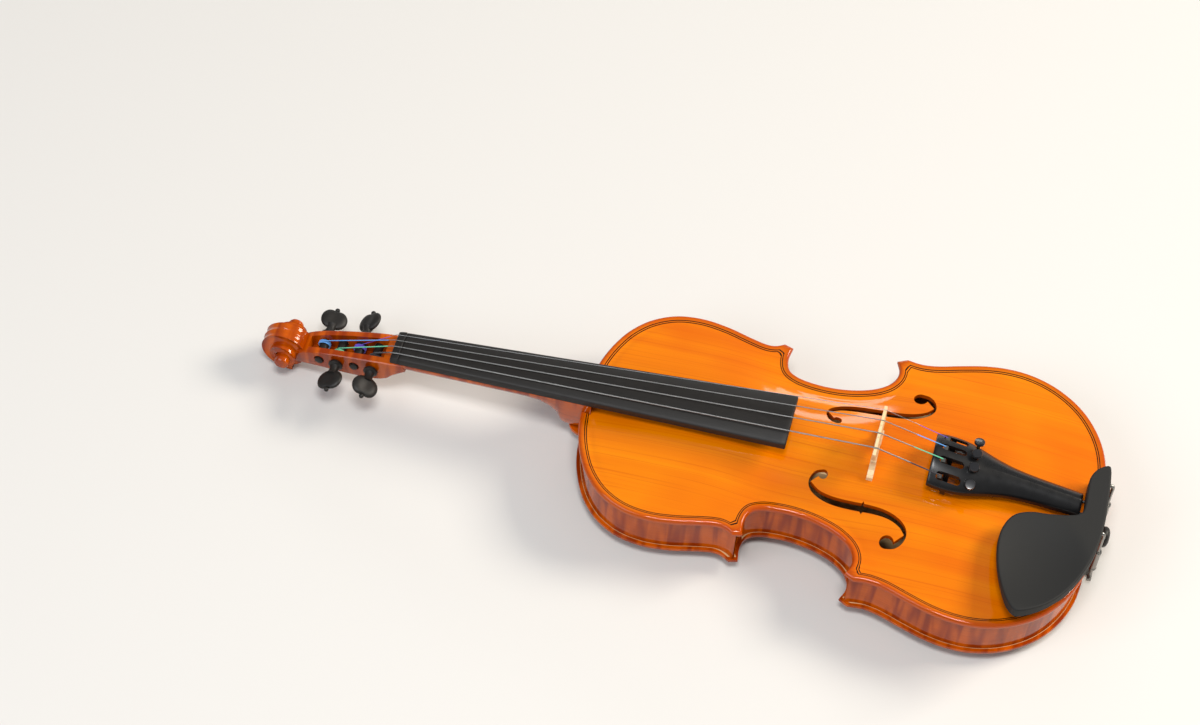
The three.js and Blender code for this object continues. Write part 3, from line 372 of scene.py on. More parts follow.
def varnished_maple(name, coordinate):
    """Flamed maple under red-orange spirit varnish: the curl is 5 to 9 mm from band to band across the
    grain, with 0.4 mm grain lines, and the varnish is a clear glossy coat with a faint orange peel. The eye
    sees deep red-brown bands that slide under a wet-looking skin."""
    material, tree, shader = new_finish(name, Coat_Weight=0.8, Coat_Roughness=0.08, Roughness=0.6,
                                        Specular_IOR_Level=0.0)
    place = add_node(tree, "ShaderNodeTexCoord").outputs[coordinate]
    wander = add_node(tree, "ShaderNodeTexNoise", {"Scale": 28.0, "Detail": 2.0}, {"Vector": place})
    bands = add_node(tree, "ShaderNodeMapping", {"Scale": (150.0, 14.0, 14.0)}, {"Vector": place})
    curl = add_node(tree, "ShaderNodeTexNoise", {"Scale": 1.0, "Detail": 1.5, "Distortion": 0.5},
                    {"Vector": bands.outputs[0]})
    curl_mask = add_node(tree, "ShaderNodeMapRange", {"From Min": 0.36, "From Max": 0.64},
                         {"Value": curl.outputs[0]}, interpolation_type="SMOOTHSTEP")
    fine = add_node(tree, "ShaderNodeMapping", {"Scale": (60.0, 2200.0, 60.0)}, {"Vector": place})
    grain = add_node(tree, "ShaderNodeTexNoise", {"Scale": 1.0, "Detail": 2.0}, {"Vector": fine.outputs[0]})
    base = add_node(tree, "ShaderNodeMix", {6: linear("8A2E00"), 7: linear("BC5200")},
                    {0: curl_mask.outputs[0]}, data_type="RGBA")
    tint = add_node(tree, "ShaderNodeMix", {7: linear("7A2800")}, {6: base.outputs[2]}, data_type="RGBA")
    tint_mask = add_node(tree, "ShaderNodeMapRange", {"From Min": 0.52, "From Max": 0.8, "To Max": 0.55},
                         {"Value": grain.outputs[0]})
    tree.links.new(tint_mask.outputs[0], tint.inputs[0])
    shade = add_node(tree, "ShaderNodeMix", {7: linear("6A2200")}, {6: tint.outputs[2]}, data_type="RGBA")
    shade_mask = add_node(tree, "ShaderNodeMapRange", {"From Min": 0.55, "From Max": 0.85, "To Max": 0.4},
                          {"Value": wander.outputs[0]})
    tree.links.new(shade_mask.outputs[0], shade.inputs[0])
    tree.links.new(shade.outputs[2], shader.inputs["Base Color"])
    peel = add_node(tree, "ShaderNodeTexNoise", {"Scale": 700.0, "Detail": 2.0}, {"Vector": place})
    bump = add_node(tree, "ShaderNodeBump", {"Strength": 0.06, "Distance": 0.0003},
                    {"Height": peel.outputs[0]})
    tree.links.new(bump.outputs[0], shader.inputs["Normal"])
    tree.links.new(bump.outputs[0], shader.inputs["Coat Normal"])
    return material


def bare_wood():
    """Planed spruce and willow without varnish: pale, dry and without a highlight, with straight grain."""
    material, tree, shader = new_finish("bare spruce and willow", Roughness=0.82)
    place = add_node(tree, "ShaderNodeTexCoord").outputs["Object"]
    lines = add_node(tree, "ShaderNodeMapping", {"Scale": (12.0, 900.0, 120.0)}, {"Vector": place})
    grain = add_node(tree, "ShaderNodeTexNoise", {"Scale": 1.0, "Detail": 3.0}, {"Vector": lines.outputs[0]})
    base = add_node(tree, "ShaderNodeMix", {6: linear("D8B98A"), 7: linear("B8905C")},
                    {0: grain.outputs[0]}, data_type="RGBA")
    tree.links.new(base.outputs[2], shader.inputs["Base Color"])
    return material


maple_by_uv = varnished_maple("varnished flamed maple, by length", "UV")
maple_by_place = varnished_maple("varnished flamed maple", "Object")
inside_wood = bare_wood()
back = plate_mesh("carved_back", back_outer, back_inner, -1)
BUTTON_RADII = (7.6, 8.2, 8.9, 9.2, 9.2, 8.9)
BUTTON_HEIGHTS = BACK_OUTSIDE + np.array([0.15, 0, 0.5, 1.5, 3.2, EDGE])
back_button = ring_stack("button", BUTTON_RADII, BUTTON_HEIGHTS, (0.4 - BODY_HALF, 0, 0))
dress_plate(back, maple_by_place, inside_wood)
dress(back_button, maple_by_place)
joined_solid(back, [back_button], "UNION")
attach(back, "root")
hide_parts("back_plate")


# ---- blocks, linings, bass bar and sound post ----------------------------------------------------------
# Willow and spruce, glued inside the ribs and under the top and left bare: planed, pale and dull. They
# keep the shapes that they have in the frame, because only their edges show through the sound holes.
INSIDE = ("lining_", "corner_block", "neck_block", "end_block", "bass_bar", "sound_post")
for node_name, node_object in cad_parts.items():
    if node_name.startswith(INSIDE):
        dress(node_object, inside_wood)


# ---- ribs ----------------------------------------------------------------------------------------------
# Six maple strips, 1.1 mm thick, bent hot and mitred at the corners, with the flame running up and down.
# The plates overhang them by 2.4 mm. The two upper ones end inside the neck's heel.
OVERHANG = 2.4
RIB_THICKNESS = 1.1
INSIDE_HEEL = 3.0
GLUE_GAP = 0.03
RIB_POINTS = 110


def corner_lines(first, second):
    """Mitre line and outer end of the ribs at a corner, as (direction out, direction across, mitre, end).
    The mitre halves the angle between the two ribs, and the end is cut 1 mm short of where they meet."""
    a, b = first + OVERHANG * inwards(first), second + OVERHANG * inwards(second)
    u, v = a[-1] - a[-2], b[0] - b[1]
    u, v = u / np.linalg.norm(u), v / np.linalg.norm(v)
    t = np.linalg.solve(np.stack([u, -v], axis=1), b[0] - a[-1])[0]
    out = (u + v) / np.linalg.norm(u + v)
    tip = a[-1] + t * u
    across = np.array([out[1], -out[0]])
    return out, across, tip @ across, tip @ out - 1.0


upper_corner = corner_lines(upper_line, waist_line)
lower_corner = corner_lines(waist_line, lower_line)


def stopped_at(line, corner, side):
    """The line, run 4 mm past its end and cut where it meets the mitre line or the corner's face."""
    out, across, mitre, end = corner
    step = line[-1] - line[-2]
    line = np.vstack([line, line[-1] + 4 * step / np.linalg.norm(step)])
    line = resampled(line, len(line) * 3)
    local = np.linalg.norm(line - line[-1], axis=1) < 15
    over = local & ((side * (line @ across - mitre) > -0.05) | (line @ out > end))
    stop = np.flatnonzero(over)
    return line if len(stop) == 0 else line[:stop[0]]


def rib_faces(bout, depth):
    """Plan line of one face of a rib: the outline moved in by the depth and cut at the corners' mitres."""
    line = {"upper": upper_line, "waist": waist_line, "lower": lower_line}[bout]
    line = line + depth * inwards(line)
    if bout in ("upper", "waist"):
        line = stopped_at(line, upper_corner if bout == "upper" else lower_corner, 1)
    if bout in ("lower", "waist"):
        line = stopped_at(line[::-1], lower_corner if bout == "lower" else upper_corner, -1)[::-1]
    if bout == "upper":
        line = line[line[:, 1] > INSIDE_HEEL]
    return resampled(line, RIB_POINTS)


def rib(bout, way):
    """Closed strip between the plates: the outer face drawn up and the inner face drawn down, with the run
    along the rib and the height as its UV map. way is -1 for the bass side and 1 for the treble side."""
    outer, inner = rib_faces(bout, OVERHANG), rib_faces(bout, OVERHANG + RIB_THICKNESS)
    low, high = BACK_INSIDE + GLUE_GAP, -EDGE - GLUE_GAP
    heights = np.linspace(low, high, 5)
    walls = [np.column_stack([outer, np.full(len(outer), h)]) for h in heights]
    walls += [np.column_stack([inner, np.full(len(inner), h)]) for h in heights[::-1]]
    grid = np.stack(walls, axis=1) * (1, way, 1)
    run = np.concatenate([[0], np.cumsum(np.linalg.norm(np.diff(outer, axis=0), axis=1))])
    uv = np.dstack([np.broadcast_to(run[:, None], grid.shape[:2]), grid[..., 2]]) / 1000
    side_name = "bass" if way < 0 else "treble"
    return grid_mesh(f"bent_rib_{bout}_{side_name}", grid, wrap_columns=True, caps=True, uv=uv)


for side_name, way in (("bass", -1), ("treble", 1)):
    for bout in ("upper", "waist", "lower"):
        strip = rib(bout, way)
        dress(strip, maple_by_uv)
        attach(strip, "root")
        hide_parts(f"rib_{bout}_{side_name}")


# ---- top plate -----------------------------------------------------------------------------------------
# Two quarter-sawn halves of spruce, carved 3 mm thick, with a double purfling line let in along the edge
# and two cut sound holes. The straight grain is lighter than the maple under the same orange varnish.
def top_outer(x, y, edge):
    """The arch over the level edge, plus the edge's profile."""
    return TOP_RISE * arch(x, y) + edge_profile(edge)


def top_inner(x, y):
    """The glue face, plus an arch that leaves the middle 3 mm thick."""
    return (TOP_RISE + EDGE - MIDDLE_THICKNESS) * arch(x, y) - EDGE


# Each eye is a centre, a radius and two angles. Each edge is the side of the hole between the two eyes.
UPPER_EYE = ((-6.8, 19.7), 2.8, 145, -90)
OUTER_EDGE = [
    (-6.8, 16.9), (-11.6, 18.9), (-14.1, 24.4), (-12.2, 29.6), (-6, 33.6), (3, 35.9), (15, 36.7), (28, 36.9),
    (37, 38.4), (43.6, 41.7), (47.3, 45.9),
]
LOWER_EYE = ((38.4, 51.9), 4.2, -12, -270)
INNER_EDGE = [
    (38.4, 56.1), (43.4, 55.1), (47.2, 51.3), (48.7, 45.4), (46.2, 39.8), (40.5, 35.6), (33, 33), (24, 31.9),
    (12, 31.6), (2, 31), (-6.5, 29.2), (-12.9, 25.2),
]


def arc(centre, radius, first, last, count=40):
    """Points of a circle from the first angle to the last one, in degrees."""
    turn = np.radians(np.linspace(first, last, count))
    return np.stack([centre[0] + radius * np.cos(turn), centre[1] + radius * np.sin(turn)], axis=1)


def prism(name, outline, low, high, material=None):
    """Closed upright prism over a plan outline."""
    ring = np.asarray(outline, float)
    walls = np.stack([np.column_stack([ring, np.full(len(ring), h)]) for h in (low, high)])
    piece = grid_mesh(name, walls, wrap_columns=True, caps=True)
    if material:
        dress(piece, material)
    return piece


def rectangle(x0, x1, half):
    """Plan of a block that lies evenly about the middle line."""
    return [(x0, -half), (x1, -half), (x1, half), (x0, half)]


def varnished_spruce():
    """Grain lines 1.1 mm apart along X, broad light and dark strips, and the purfling read from the
    distance to the edge that the plate's UV map holds. The clear coat gives a sharp, wet highlight, and the
    grain under it stands out as fine ridges."""
    material, tree, shader = new_finish("orange varnished spruce", Coat_Weight=0.8, Coat_Roughness=0.07,
                                        Roughness=0.6, Specular_IOR_Level=0.0)
    place = add_node(tree, "ShaderNodeTexCoord").outputs["Object"]
    lines = add_node(tree, "ShaderNodeMapping", {"Scale": (5.0, 900.0, 0.0)}, {"Vector": place})
    grain = add_node(tree, "ShaderNodeTexNoise", {"Scale": 1.0, "Detail": 2.0, "Roughness": 0.6},
                     {"Vector": lines.outputs[0]})
    strips = add_node(tree, "ShaderNodeMapping", {"Scale": (3.0, 90.0, 0.0)}, {"Vector": place})
    broad = add_node(tree, "ShaderNodeTexNoise", {"Scale": 1.0, "Detail": 2.0}, {"Vector": strips.outputs[0]})
    cloud = add_node(tree, "ShaderNodeTexNoise", {"Scale": 14.0, "Detail": 2.0}, {"Vector": place})
    grain_mask = add_node(tree, "ShaderNodeMapRange", {"From Min": 0.5, "From Max": 0.74, "To Max": 0.5},
                          {"Value": grain.outputs[0]}, interpolation_type="SMOOTHSTEP")
    broad_mask = add_node(tree, "ShaderNodeMapRange", {"From Min": 0.3, "From Max": 0.7},
                          {"Value": broad.outputs[0]})
    cloud_mask = add_node(tree, "ShaderNodeMapRange", {"From Min": 0.42, "From Max": 0.7, "To Max": 0.5},
                          {"Value": cloud.outputs[0]})
    base = add_node(tree, "ShaderNodeMix", {6: linear("D26A00"), 7: linear("DE7E00")},
                    {0: broad_mask.outputs[0]}, data_type="RGBA")
    late = add_node(tree, "ShaderNodeMix", {7: linear("B44C00")},
                    {0: grain_mask.outputs[0], 6: base.outputs[2]}, data_type="RGBA")
    tone = add_node(tree, "ShaderNodeMix", {7: linear("C65200")},
                    {0: cloud_mask.outputs[0], 6: late.outputs[2]}, data_type="RGBA")
    finished_colour = edge_wear_and_purfling(tree, tone.outputs[2], "A03200")
    tree.links.new(finished_colour, shader.inputs["Base Color"])
    ridges = add_node(tree, "ShaderNodeBump", {"Strength": 0.12, "Distance": 0.0002},
                      {"Height": grain.outputs[0]})
    tree.links.new(ridges.outputs[0], shader.inputs["Normal"])
    peel = add_node(tree, "ShaderNodeTexNoise", {"Scale": 420.0, "Detail": 2.0}, {"Vector": place})
    skin = add_node(tree, "ShaderNodeBump", {"Strength": 0.05, "Distance": 0.0003},
                    {"Height": peel.outputs[0]})
    tree.links.new(skin.outputs[0], shader.inputs["Coat Normal"])
    return material


def edge_wear_and_purfling(tree, colour_socket, edge_colour):
    """Deeper varnish near the edge, which fades out by 4.6 mm, then two dark 0.6 mm lines 1.1 mm apart."""
    plate_map = add_node(tree, "ShaderNodeUVMap")
    inset_value = add_node(tree, "ShaderNodeSeparateXYZ", links={0: plate_map.outputs[0]})
    fade = {"From Min": 0.0012, "From Max": 0.0046, "To Min": 0.75, "To Max": 0.0}
    deep = add_node(tree, "ShaderNodeMapRange", fade, {"Value": inset_value.outputs[0]})
    shaded = add_node(tree, "ShaderNodeMix", {7: linear(edge_colour)}, {0: deep.outputs[0], 6: colour_socket},
                      data_type="RGBA")
    current = shaded.outputs[2]
    half_line = 0.0003
    for centre in (0.0037, 0.0048):
        line = add_node(tree, "ShaderNodeMath", {1: centre, 2: half_line}, {0: inset_value.outputs[0]},
                        operation="COMPARE")
        inked = add_node(tree, "ShaderNodeMix", {7: linear("2E1204")}, {0: line.outputs[0], 6: current},
                         data_type="RGBA")
        current = inked.outputs[2]
    return current


top = plate_mesh("carved_top", top_outer, top_inner, 1)
dress_plate(top, varnished_spruce(), inside_wood)
# Bare spruce cut with a knife lines the holes. Its dark brown is painted shade: the walls of the holes are
# coloured as they look in shadow.
cut_edge, _, _ = new_finish("cut edge with painted shade", Base_Color=linear("6E4220"), Roughness=0.5)
CUT_LOW, CUT_HIGH = -9, 15
NICKS = ((36.3, 38.2), (32.3, 30.4))
knives = []
for side in (1, -1):
    hole = np.vstack([arc(*UPPER_EYE), curve_through(OUTER_EDGE, 60), arc(*LOWER_EYE, count=50),
                      curve_through(INNER_EDGE, 70)])
    knives.append(prism("sound hole", resampled(hole, 260) * (1, side), CUT_LOW, CUT_HIGH, cut_edge))
    for level, point in NICKS:
        nick = [(18.9, level * side), (21.1, level * side), (20, point * side)]
        knives.append(prism("nick", nick, CUT_LOW, CUT_HIGH, cut_edge))
knives.append(prism("neck seat", rectangle(-165, -149.4, 13.2), CUT_LOW, CUT_HIGH, inside_wood))
knives.append(prism("saddle seat", rectangle(149.1, 165, 14.15), CUT_LOW, CUT_HIGH, inside_wood))
joined_solid(top, knives, "DIFFERENCE")
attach(top, "root")
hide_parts("top_plate")


# ---- neck, pegbox and scroll ---------------------------------------------------------------------------
# One piece of maple: a rounded neck with a heel, a box with thin cheeks for the pegs, and a carved volute
# of two and a half turns with a fluted back. Its varnish is the same as on the ribs.
NUT_X = -270.0
BOARD_END_X = -31.7
PEGBOX_TILT = math.radians(11)
PEGBOX_START = (-275.3, -3.29)
SCROLL_REACH, SCROLL_DROP = 70.0, -8.0


def board_share(x):
    """0 at the nut and 1 at the fingerboard's end."""
    return (np.asarray(x, float) - NUT_X) / (BOARD_END_X - NUT_X)


def board_half(x):
    """Half-width of the fingerboard, a straight taper."""
    return 10.5 + 7.5 * board_share(x)


def board_edge(x):
    """Height of the fingerboard's edge, a straight rise."""
    return 2.5 + 22.1 * board_share(x)


def on_pegbox(points):
    """(reach, across, height) along the pegbox, which tips back by 11 degrees, to body millimetres."""
    reach, across, height = np.moveaxis(np.asarray(points, float), -1, 0)
    c, s = math.cos(PEGBOX_TILT), math.sin(PEGBOX_TILT)
    return np.stack([
        PEGBOX_START[0] - reach * c - height * s,
        across,
        PEGBOX_START[1] - reach * s + height * c,
    ], axis=-1)


def table_of(rows, count):
    """Smooth table: a Catmull-Rom curve through the rows, read at equal steps of its length."""
    return curve_through(np.asarray(rows, float), count)


# Each row of NECK is x, the underside's height and a fullness from 0 (round neck) to 1 (square heel). Each
# row of PEGBOX is reach, half-width, front and rear, and each row of HOLLOW is reach, half-width and floor.
NECK = [
    (-275, -13.6, 0), (-262, -12.6, 0), (-232, -10.2, 0), (-202, -7.6, 0), (-188, -7.4, .1), (-181, -10, .3),
    (-175.5, -15, .6), (-171, -21.5, .85), (-167, -30.3, 1), (-149.5, -30.3, 1),
]
PEGBOX = [
    (-8, 10.6, -1, -9), (0, 11.1, 0, -13), (6, 11.1, .3, -17.5), (15, 10.8, .4, -19.6), (30, 9.9, 0, -19.2),
    (45, 8.9, -1, -17.8), (56, 8, -3, -17), (66, 6.9, -7.5, -17.6),
]
HOLLOW = [(4.6, 6.9, -11), (8, 6.8, -14.5), (30, 5.9, -15.2), (46, 4.8, -13), (55, 4.1, -10)]


def neck_grid():
    """Section: half an ellipse under the fingerboard's width. Towards the heel a superellipse's power makes
    it squarer, and it narrows downwards by 36 percent."""
    x, bottom, full = (column[:, None] for column in table_of(NECK, 130).T)
    turn = np.linspace(0, np.pi, 41)[None, :]
    top_z = board_edge(x) - 5.0
    power = 1 - 0.45 * full
    deep = np.sin(turn) ** (1 - 0.1 * full)
    wide = board_half(x) * np.sign(np.cos(turn)) * np.abs(np.cos(turn)) ** power * (1 - 0.36 * full * deep)
    return np.dstack([np.broadcast_to(x, wide.shape), wide, top_z + (bottom - top_z) * deep])


def pegbox_grid():
    """Section: flat front, straight cheeks, round corners of 3 mm and a back with two shallow flutes."""
    reach, half, front, rear = (column[:, None] for column in table_of(PEGBOX, 90).T)
    across = np.linspace(-1, 1, 33)[None, :]
    corner = np.clip((np.abs(across) * half - (half - 3)) / 3, 0, 1)
    flute = 0.9 * np.sin(np.pi * np.clip(np.abs(across) / 0.9, 0, 1)) * np.clip(reach / 14, 0, 1)
    back_z = rear + 3 * (1 - np.sqrt(1 - corner**2 * 0.98)) + flute
    back_row = np.dstack([np.broadcast_to(reach, back_z.shape), across * half, back_z])
    ease = [(1, 0.7), (0.94, 0.15), (0.88, 0), (0.4, 0), (-0.4, 0), (-0.88, 0), (-0.94, 0.15), (-1, 0.7)]
    front_row = np.concatenate([
        np.dstack([reach, share * half, front - drop]) for share, drop in ease], axis=1)
    return on_pegbox(np.concatenate([back_row, front_row], axis=1))


def hollow_grid():
    """The cutter for the pegbox: straight walls and a flat floor, which rises by 1.2 mm along its sides."""
    reach, half, deep = (column[:, None] for column in table_of(HOLLOW, 40).T)
    ring = np.array([(-1, 12), (1, 12), (1, 0), (0.98, -1), (0.8, -1), (-0.8, -1), (-0.98, -1), (-1, 0)])
    depth = np.where(ring[None, :, 1] < 0, deep + np.where(np.abs(ring[None, :, 0]) > 0.9, 1.2, 0),
                     ring[None, :, 1])
    return on_pegbox(np.dstack([np.broadcast_to(reach, depth.shape), ring[None, :, 0] * half, depth]))


def volute_grid():
    """Band along r = 18.3 e^(-0.078 t) for two and a half turns about the eye, into which it runs out. Its
    half-width narrows to 5.4 mm over the first 150 degrees and then widens to 16 mm at the eye, and it
    reaches in to the next turn."""
    t = np.linspace(0, 5 * np.pi, 330)[:, None]
    degrees = np.degrees(t)
    start_radius, shrink = 18.3, -0.0781
    radius = start_radius * np.exp(shrink * t)
    inner = np.maximum(start_radius * np.exp(shrink * (t + 2 * np.pi)) - 0.8, 1.0)
    close = np.clip((t - 4.1 * np.pi) / (0.9 * np.pi), 0, 1)
    radius = radius + (4.2 - radius) * close**2 * (3 - 2 * close)
    width = 5.4 + 1.5 * np.clip(1 - degrees / 150, 0, 1) ** 2
    width = width + 10.6 * (np.clip(degrees - 150, 0, None) / 750) ** 1.1
    across = np.linspace(-1, 1, 21)[None, :]
    flute = 1.0 * np.sin(np.pi * np.abs(across)) ** 1.2 * np.clip(1.15 - t / (2 * np.pi), 0.25, 1)
    outer_r = radius - flute - 0.4 * np.abs(across) ** 12
    outer_y = across * (width - 0.35)
    shelf = np.array([0.03, 0.1, 0.25, 0.45, 0.65, 0.85, 1.0])[None, :]
    dip = 1.5 * np.sin(np.pi * shelf ** 0.8) ** 0.8
    out = radius + (inner - radius) * shelf
    side = width - dip * np.clip((radius - inner) / 6, 0.3, 1)
    ring_r = np.concatenate([outer_r, out, out[:, ::-1]], axis=1)
    ring_y = np.concatenate([outer_y, side, -side[:, ::-1]], axis=1)
    turn = t - np.pi / 2
    return on_pegbox(np.dstack([
        SCROLL_REACH + ring_r * np.cos(turn), ring_y, SCROLL_DROP + ring_r * np.sin(turn)]))


def spun(name, profile, place, sides=48, wave=None):
    """Piece turned on a lathe: a circle for each (radius, run) pair, where place(points) puts its (a, run, b)
    in the body's millimetres. A wave, if given, is a factor on the radius by angle and run."""
    profile = np.asarray(profile, float)
    turn = np.linspace(0, 2 * np.pi, sides, endpoint=False)[None, :]
    r, run = profile[:, :1], profile[:, 1:2]
    if wave is not None:
        r = r * wave(turn, run)
    ring = np.dstack([r * np.cos(turn), np.broadcast_to(run, (len(profile), sides)), r * np.sin(turn)])
    return grid_mesh(name, place(ring), wrap_columns=True, caps=True)


def on_eye(ring):
    """Places a turned piece about the scroll's cross axis."""
    return on_pegbox(np.dstack([SCROLL_REACH + ring[..., 0], ring[..., 1], SCROLL_DROP + ring[..., 2]]))


def one_object(name, pieces):
    """Joins closed shells into one object."""
    work = bmesh.new()
    for piece in pieces:
        work.from_mesh(piece.data)
    mesh = bpy.data.meshes.new(name)
    work.to_mesh(mesh)
    work.free()
    for piece in pieces:
        bpy.data.objects.remove(piece)
    return finished(name, mesh)


PEG_PLACES = {"e": 24.5, "a": 47.5, "d": 36.0, "g": 13.0}
PEG_DROP = 8.0
PEG_HOLE = [(3.25, -16), (3.25, 16)]
EYE = [(0, -16.4), (2.6, -16.4), (3.9, -16.0), (4.5, -15.2), (4.5, 15.2), (3.9, 16.0), (2.6, 16.4), (0, 16.4)]
box = grid_mesh("pegbox", pegbox_grid(), wrap_columns=True, caps=True)
cavity = [grid_mesh("hollow", hollow_grid(), wrap_columns=True, caps=True)]
for reach in PEG_PLACES.values():
    cavity.append(spun("peg hole", PEG_HOLE, lambda ring, reach=reach: on_pegbox(
        np.dstack([reach + ring[..., 0], ring[..., 1], ring[..., 2] - PEG_DROP]))))
joined_solid(box, cavity, "DIFFERENCE")
neck = one_object("carved_neck", [
    grid_mesh("neck", neck_grid(), wrap_columns=True, caps=True),
    box,
    grid_mesh("volute", volute_grid(), wrap_columns=True, caps=True),
    spun("eye", EYE, on_eye),
])
dress(neck, maple_by_place)
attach(neck, "root")
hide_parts("neck_scroll")


# ---- fingerboard ---------------------------------------------------------------------------------------
# Hardwood stained black, planed to a 42 mm radius across and rubbed dull. It is glued along the neck and
# stands free over the body.
BOARD_RADIUS = 42.0
BOARD_THICKNESS = 5.0


def black_wood():
    """Dense wood under a black stain: nearly black, with a soft patchy sheen and fine lengthwise pores."""
    material, tree, shader = new_finish("black-stained hardwood", Specular_IOR_Level=0.35)
    place = add_node(tree, "ShaderNodeTexCoord").outputs["Object"]
    pores = add_node(tree, "ShaderNodeMapping", {"Scale": (60.0, 2400.0, 2400.0)}, {"Vector": place})
    fine = add_node(tree, "ShaderNodeTexNoise", {"Scale": 1.0, "Detail": 2.0}, {"Vector": pores.outputs[0]})
    cloud = add_node(tree, "ShaderNodeTexNoise", {"Scale": 60.0, "Detail": 3.0}, {"Vector": place})
    base = add_node(tree, "ShaderNodeMix", {6: linear("110F0D"), 7: linear("201D1A")}, {0: fine.outputs[0]},
                    data_type="RGBA")
    tree.links.new(base.outputs[2], shader.inputs["Base Color"])
    rough = add_node(tree, "ShaderNodeMapRange", {"To Min": 0.4, "To Max": 0.62}, {"Value": cloud.outputs[0]})
    tree.links.new(rough.outputs[0], shader.inputs["Roughness"])
    bump = add_node(tree, "ShaderNodeBump", {"Strength": 0.15, "Distance": 0.0002},
                    {"Height": fine.outputs[0]})
    tree.links.new(bump.outputs[0], shader.inputs["Normal"])
    return material


ebony = black_wood()


def board_grid():
    """Section: an arc of 42 mm radius on top, edges eased by 0.5 mm, straight sides and a flat underside.
    The last millimetre at each end is eased too."""
    x = np.concatenate([
        NUT_X + np.array([0.15, 0.3, 0.7]),
        np.linspace(NUT_X + 3, BOARD_END_X - 3, 60),
        BOARD_END_X - np.array([0.9, 0.35, 0.0]),
    ])[:, None]
    ease = np.zeros(len(x))
    ease[[0, 1, -2, -1]] = 0.5, 0.15, 0.18, 0.6
    ease = ease[:, None]
    half = board_half(x) - 0.6 * ease
    across = np.array([-1, -0.985, -0.95, *np.linspace(-0.88, 0.88, 23), 0.95, 0.985, 1])[None, :]
    y = across * half
    crown = np.sqrt(BOARD_RADIUS**2 - y**2) - np.sqrt(BOARD_RADIUS**2 - half**2)
    top_z = board_edge(x) + crown - 0.5 * np.clip((np.abs(across) - 0.94) / 0.06, 0, 1) ** 2 - ease
    low_z = board_edge(x) - BOARD_THICKNESS + 0.3 * ease
    under_places = ((1, 0.3), (0.97, 0), (-0.97, 0), (-1, 0.3))
    under = [np.dstack([x, half * side, low_z + lift]) for side, lift in under_places]
    return np.concatenate([np.dstack([np.broadcast_to(x, y.shape), y, top_z])] + under, axis=1)


board = grid_mesh("ebony_board", board_grid(), wrap_columns=True, caps=True)
dress(board, ebony)
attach(board, "root")
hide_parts("fingerboard")


# ---- nut, saddle and end button ------------------------------------------------------------------------
# Small black hardwood fittings: the nut holds the strings in four filed grooves, the saddle carries the
# tailgut over the edge, and the button is a turned plug pressed into the end block.
# Each string has its place across, in steps from the middle line, and its radius.
STRINGS = {"e": (1.5, 0.17), "a": (0.5, 0.29), "d": (-0.5, 0.35), "g": (-1.5, 0.40)}
STRING_AT_NUT, STRING_AT_BRIDGE = 4.57, 9.2


def nut_top(y):
    """Height of the nut's crest, a parabola of 42 mm radius at its middle."""
    return 4.3 - y**2 / 84


def nut_grid():
    """One ring in the X-Z plane for each step across, with a small groove under every string."""
    y = np.linspace(-10.3, 10.3, 180)[:, None]
    groove = sum(0.35 * np.exp(-((y - across * STRING_AT_NUT) / 0.45) ** 4)
                 for across, _ in STRINGS.values())
    high = nut_top(y) - groove - 0.4 * np.clip((np.abs(y) - 9.7) / 0.6, 0, 1) ** 2
    ring = [(0.0, 0.0), (-0.25, 0.15), (-1.5, -0.15), (-3.5, -0.8), (-4.6, -1.35), (-4.95, -1.9)]
    upper = [np.dstack([np.full_like(y, NUT_X + dx), y, high + dz]) for dx, dz in ring]
    lower = [np.dstack([np.full_like(y, NUT_X + dx), y, np.full_like(y, -2.6)]) for dx in (-4.95, 0.0)]
    return np.concatenate(upper + lower, axis=1)


nut = grid_mesh("string_nut", nut_grid(), wrap_columns=True, caps=True)


def saddle_grid():
    """Rounded bar across the tail: its crest falls away at both ends by a quarter ellipse."""
    y = np.linspace(-13.95, 13.95, 60)[:, None]
    fall = 3.2 * (1 - np.sqrt(np.clip(1 - (np.clip(np.abs(y) - 8, 0, None) / 6.1) ** 2, 0, 1)))
    crest = 3.85
    ring = [
        (149.35, -3.1), (149.35, 0.6), (149.8, 2.2), (151.2, 3.4), (152.8, crest), (154.3, 3.6), (155.3, 2.6),
        (155.6, 1.2), (155.6, -3.1),
    ]
    return np.concatenate([
        np.dstack([np.full_like(y, x), y, z - fall * max(z, 0) / crest]) for x, z in ring], axis=1)


saddle = grid_mesh("tail_saddle", saddle_grid(), wrap_columns=True, caps=True)
BUTTON = [
    (0, 0), (2.9, .5), (3.4, 10.6), (6.2, 10.8), (6.6, 11.2), (6.6, 12.2), (6.1, 12.7), (4.4, 13.2),
    (4, 14.2), (4, 16), (4.6, 16.7), (5.6, 17.2), (6.3, 18), (6.4, 19), (6, 20.4), (5, 21.3), (3.4, 21.9),
    (1.6, 22.15), (0, 22.2),
]
BUTTON_X, BUTTON_Z = 143, -17.1
button = spun("turned_button", BUTTON, lambda ring: np.dstack([
    BUTTON_X + ring[..., 1], ring[..., 0], BUTTON_Z + ring[..., 2]]))
for piece, node_name in ((nut, "nut"), (saddle, "saddle"), (button, "end_button")):
    dress(piece, ebony)
    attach(piece, "root")
    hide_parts(node_name)


# ---- pegs and their windings ---------------------------------------------------------------------------
# Four turned pegs of black-stained hardwood, held by friction in both cheeks. Each has a collar, a waist
# and a flat grip with a small ball. The string's end is wound about the shaft in a close coil.
# Each peg has the side that it goes in from, 1 for treble, and the angle that it was left at.
PEG_TURNS = {"e": (1, 0.5), "a": (1, -0.35), "d": (-1, 0.25), "g": (-1, -0.6)}


def cheek_at(reach):
    """Half-width of the pegbox at a reach, on straight lines between its rows."""
    rows = np.asarray(PEGBOX, float)
    return np.interp(reach, rows[:, 0], rows[:, 1])


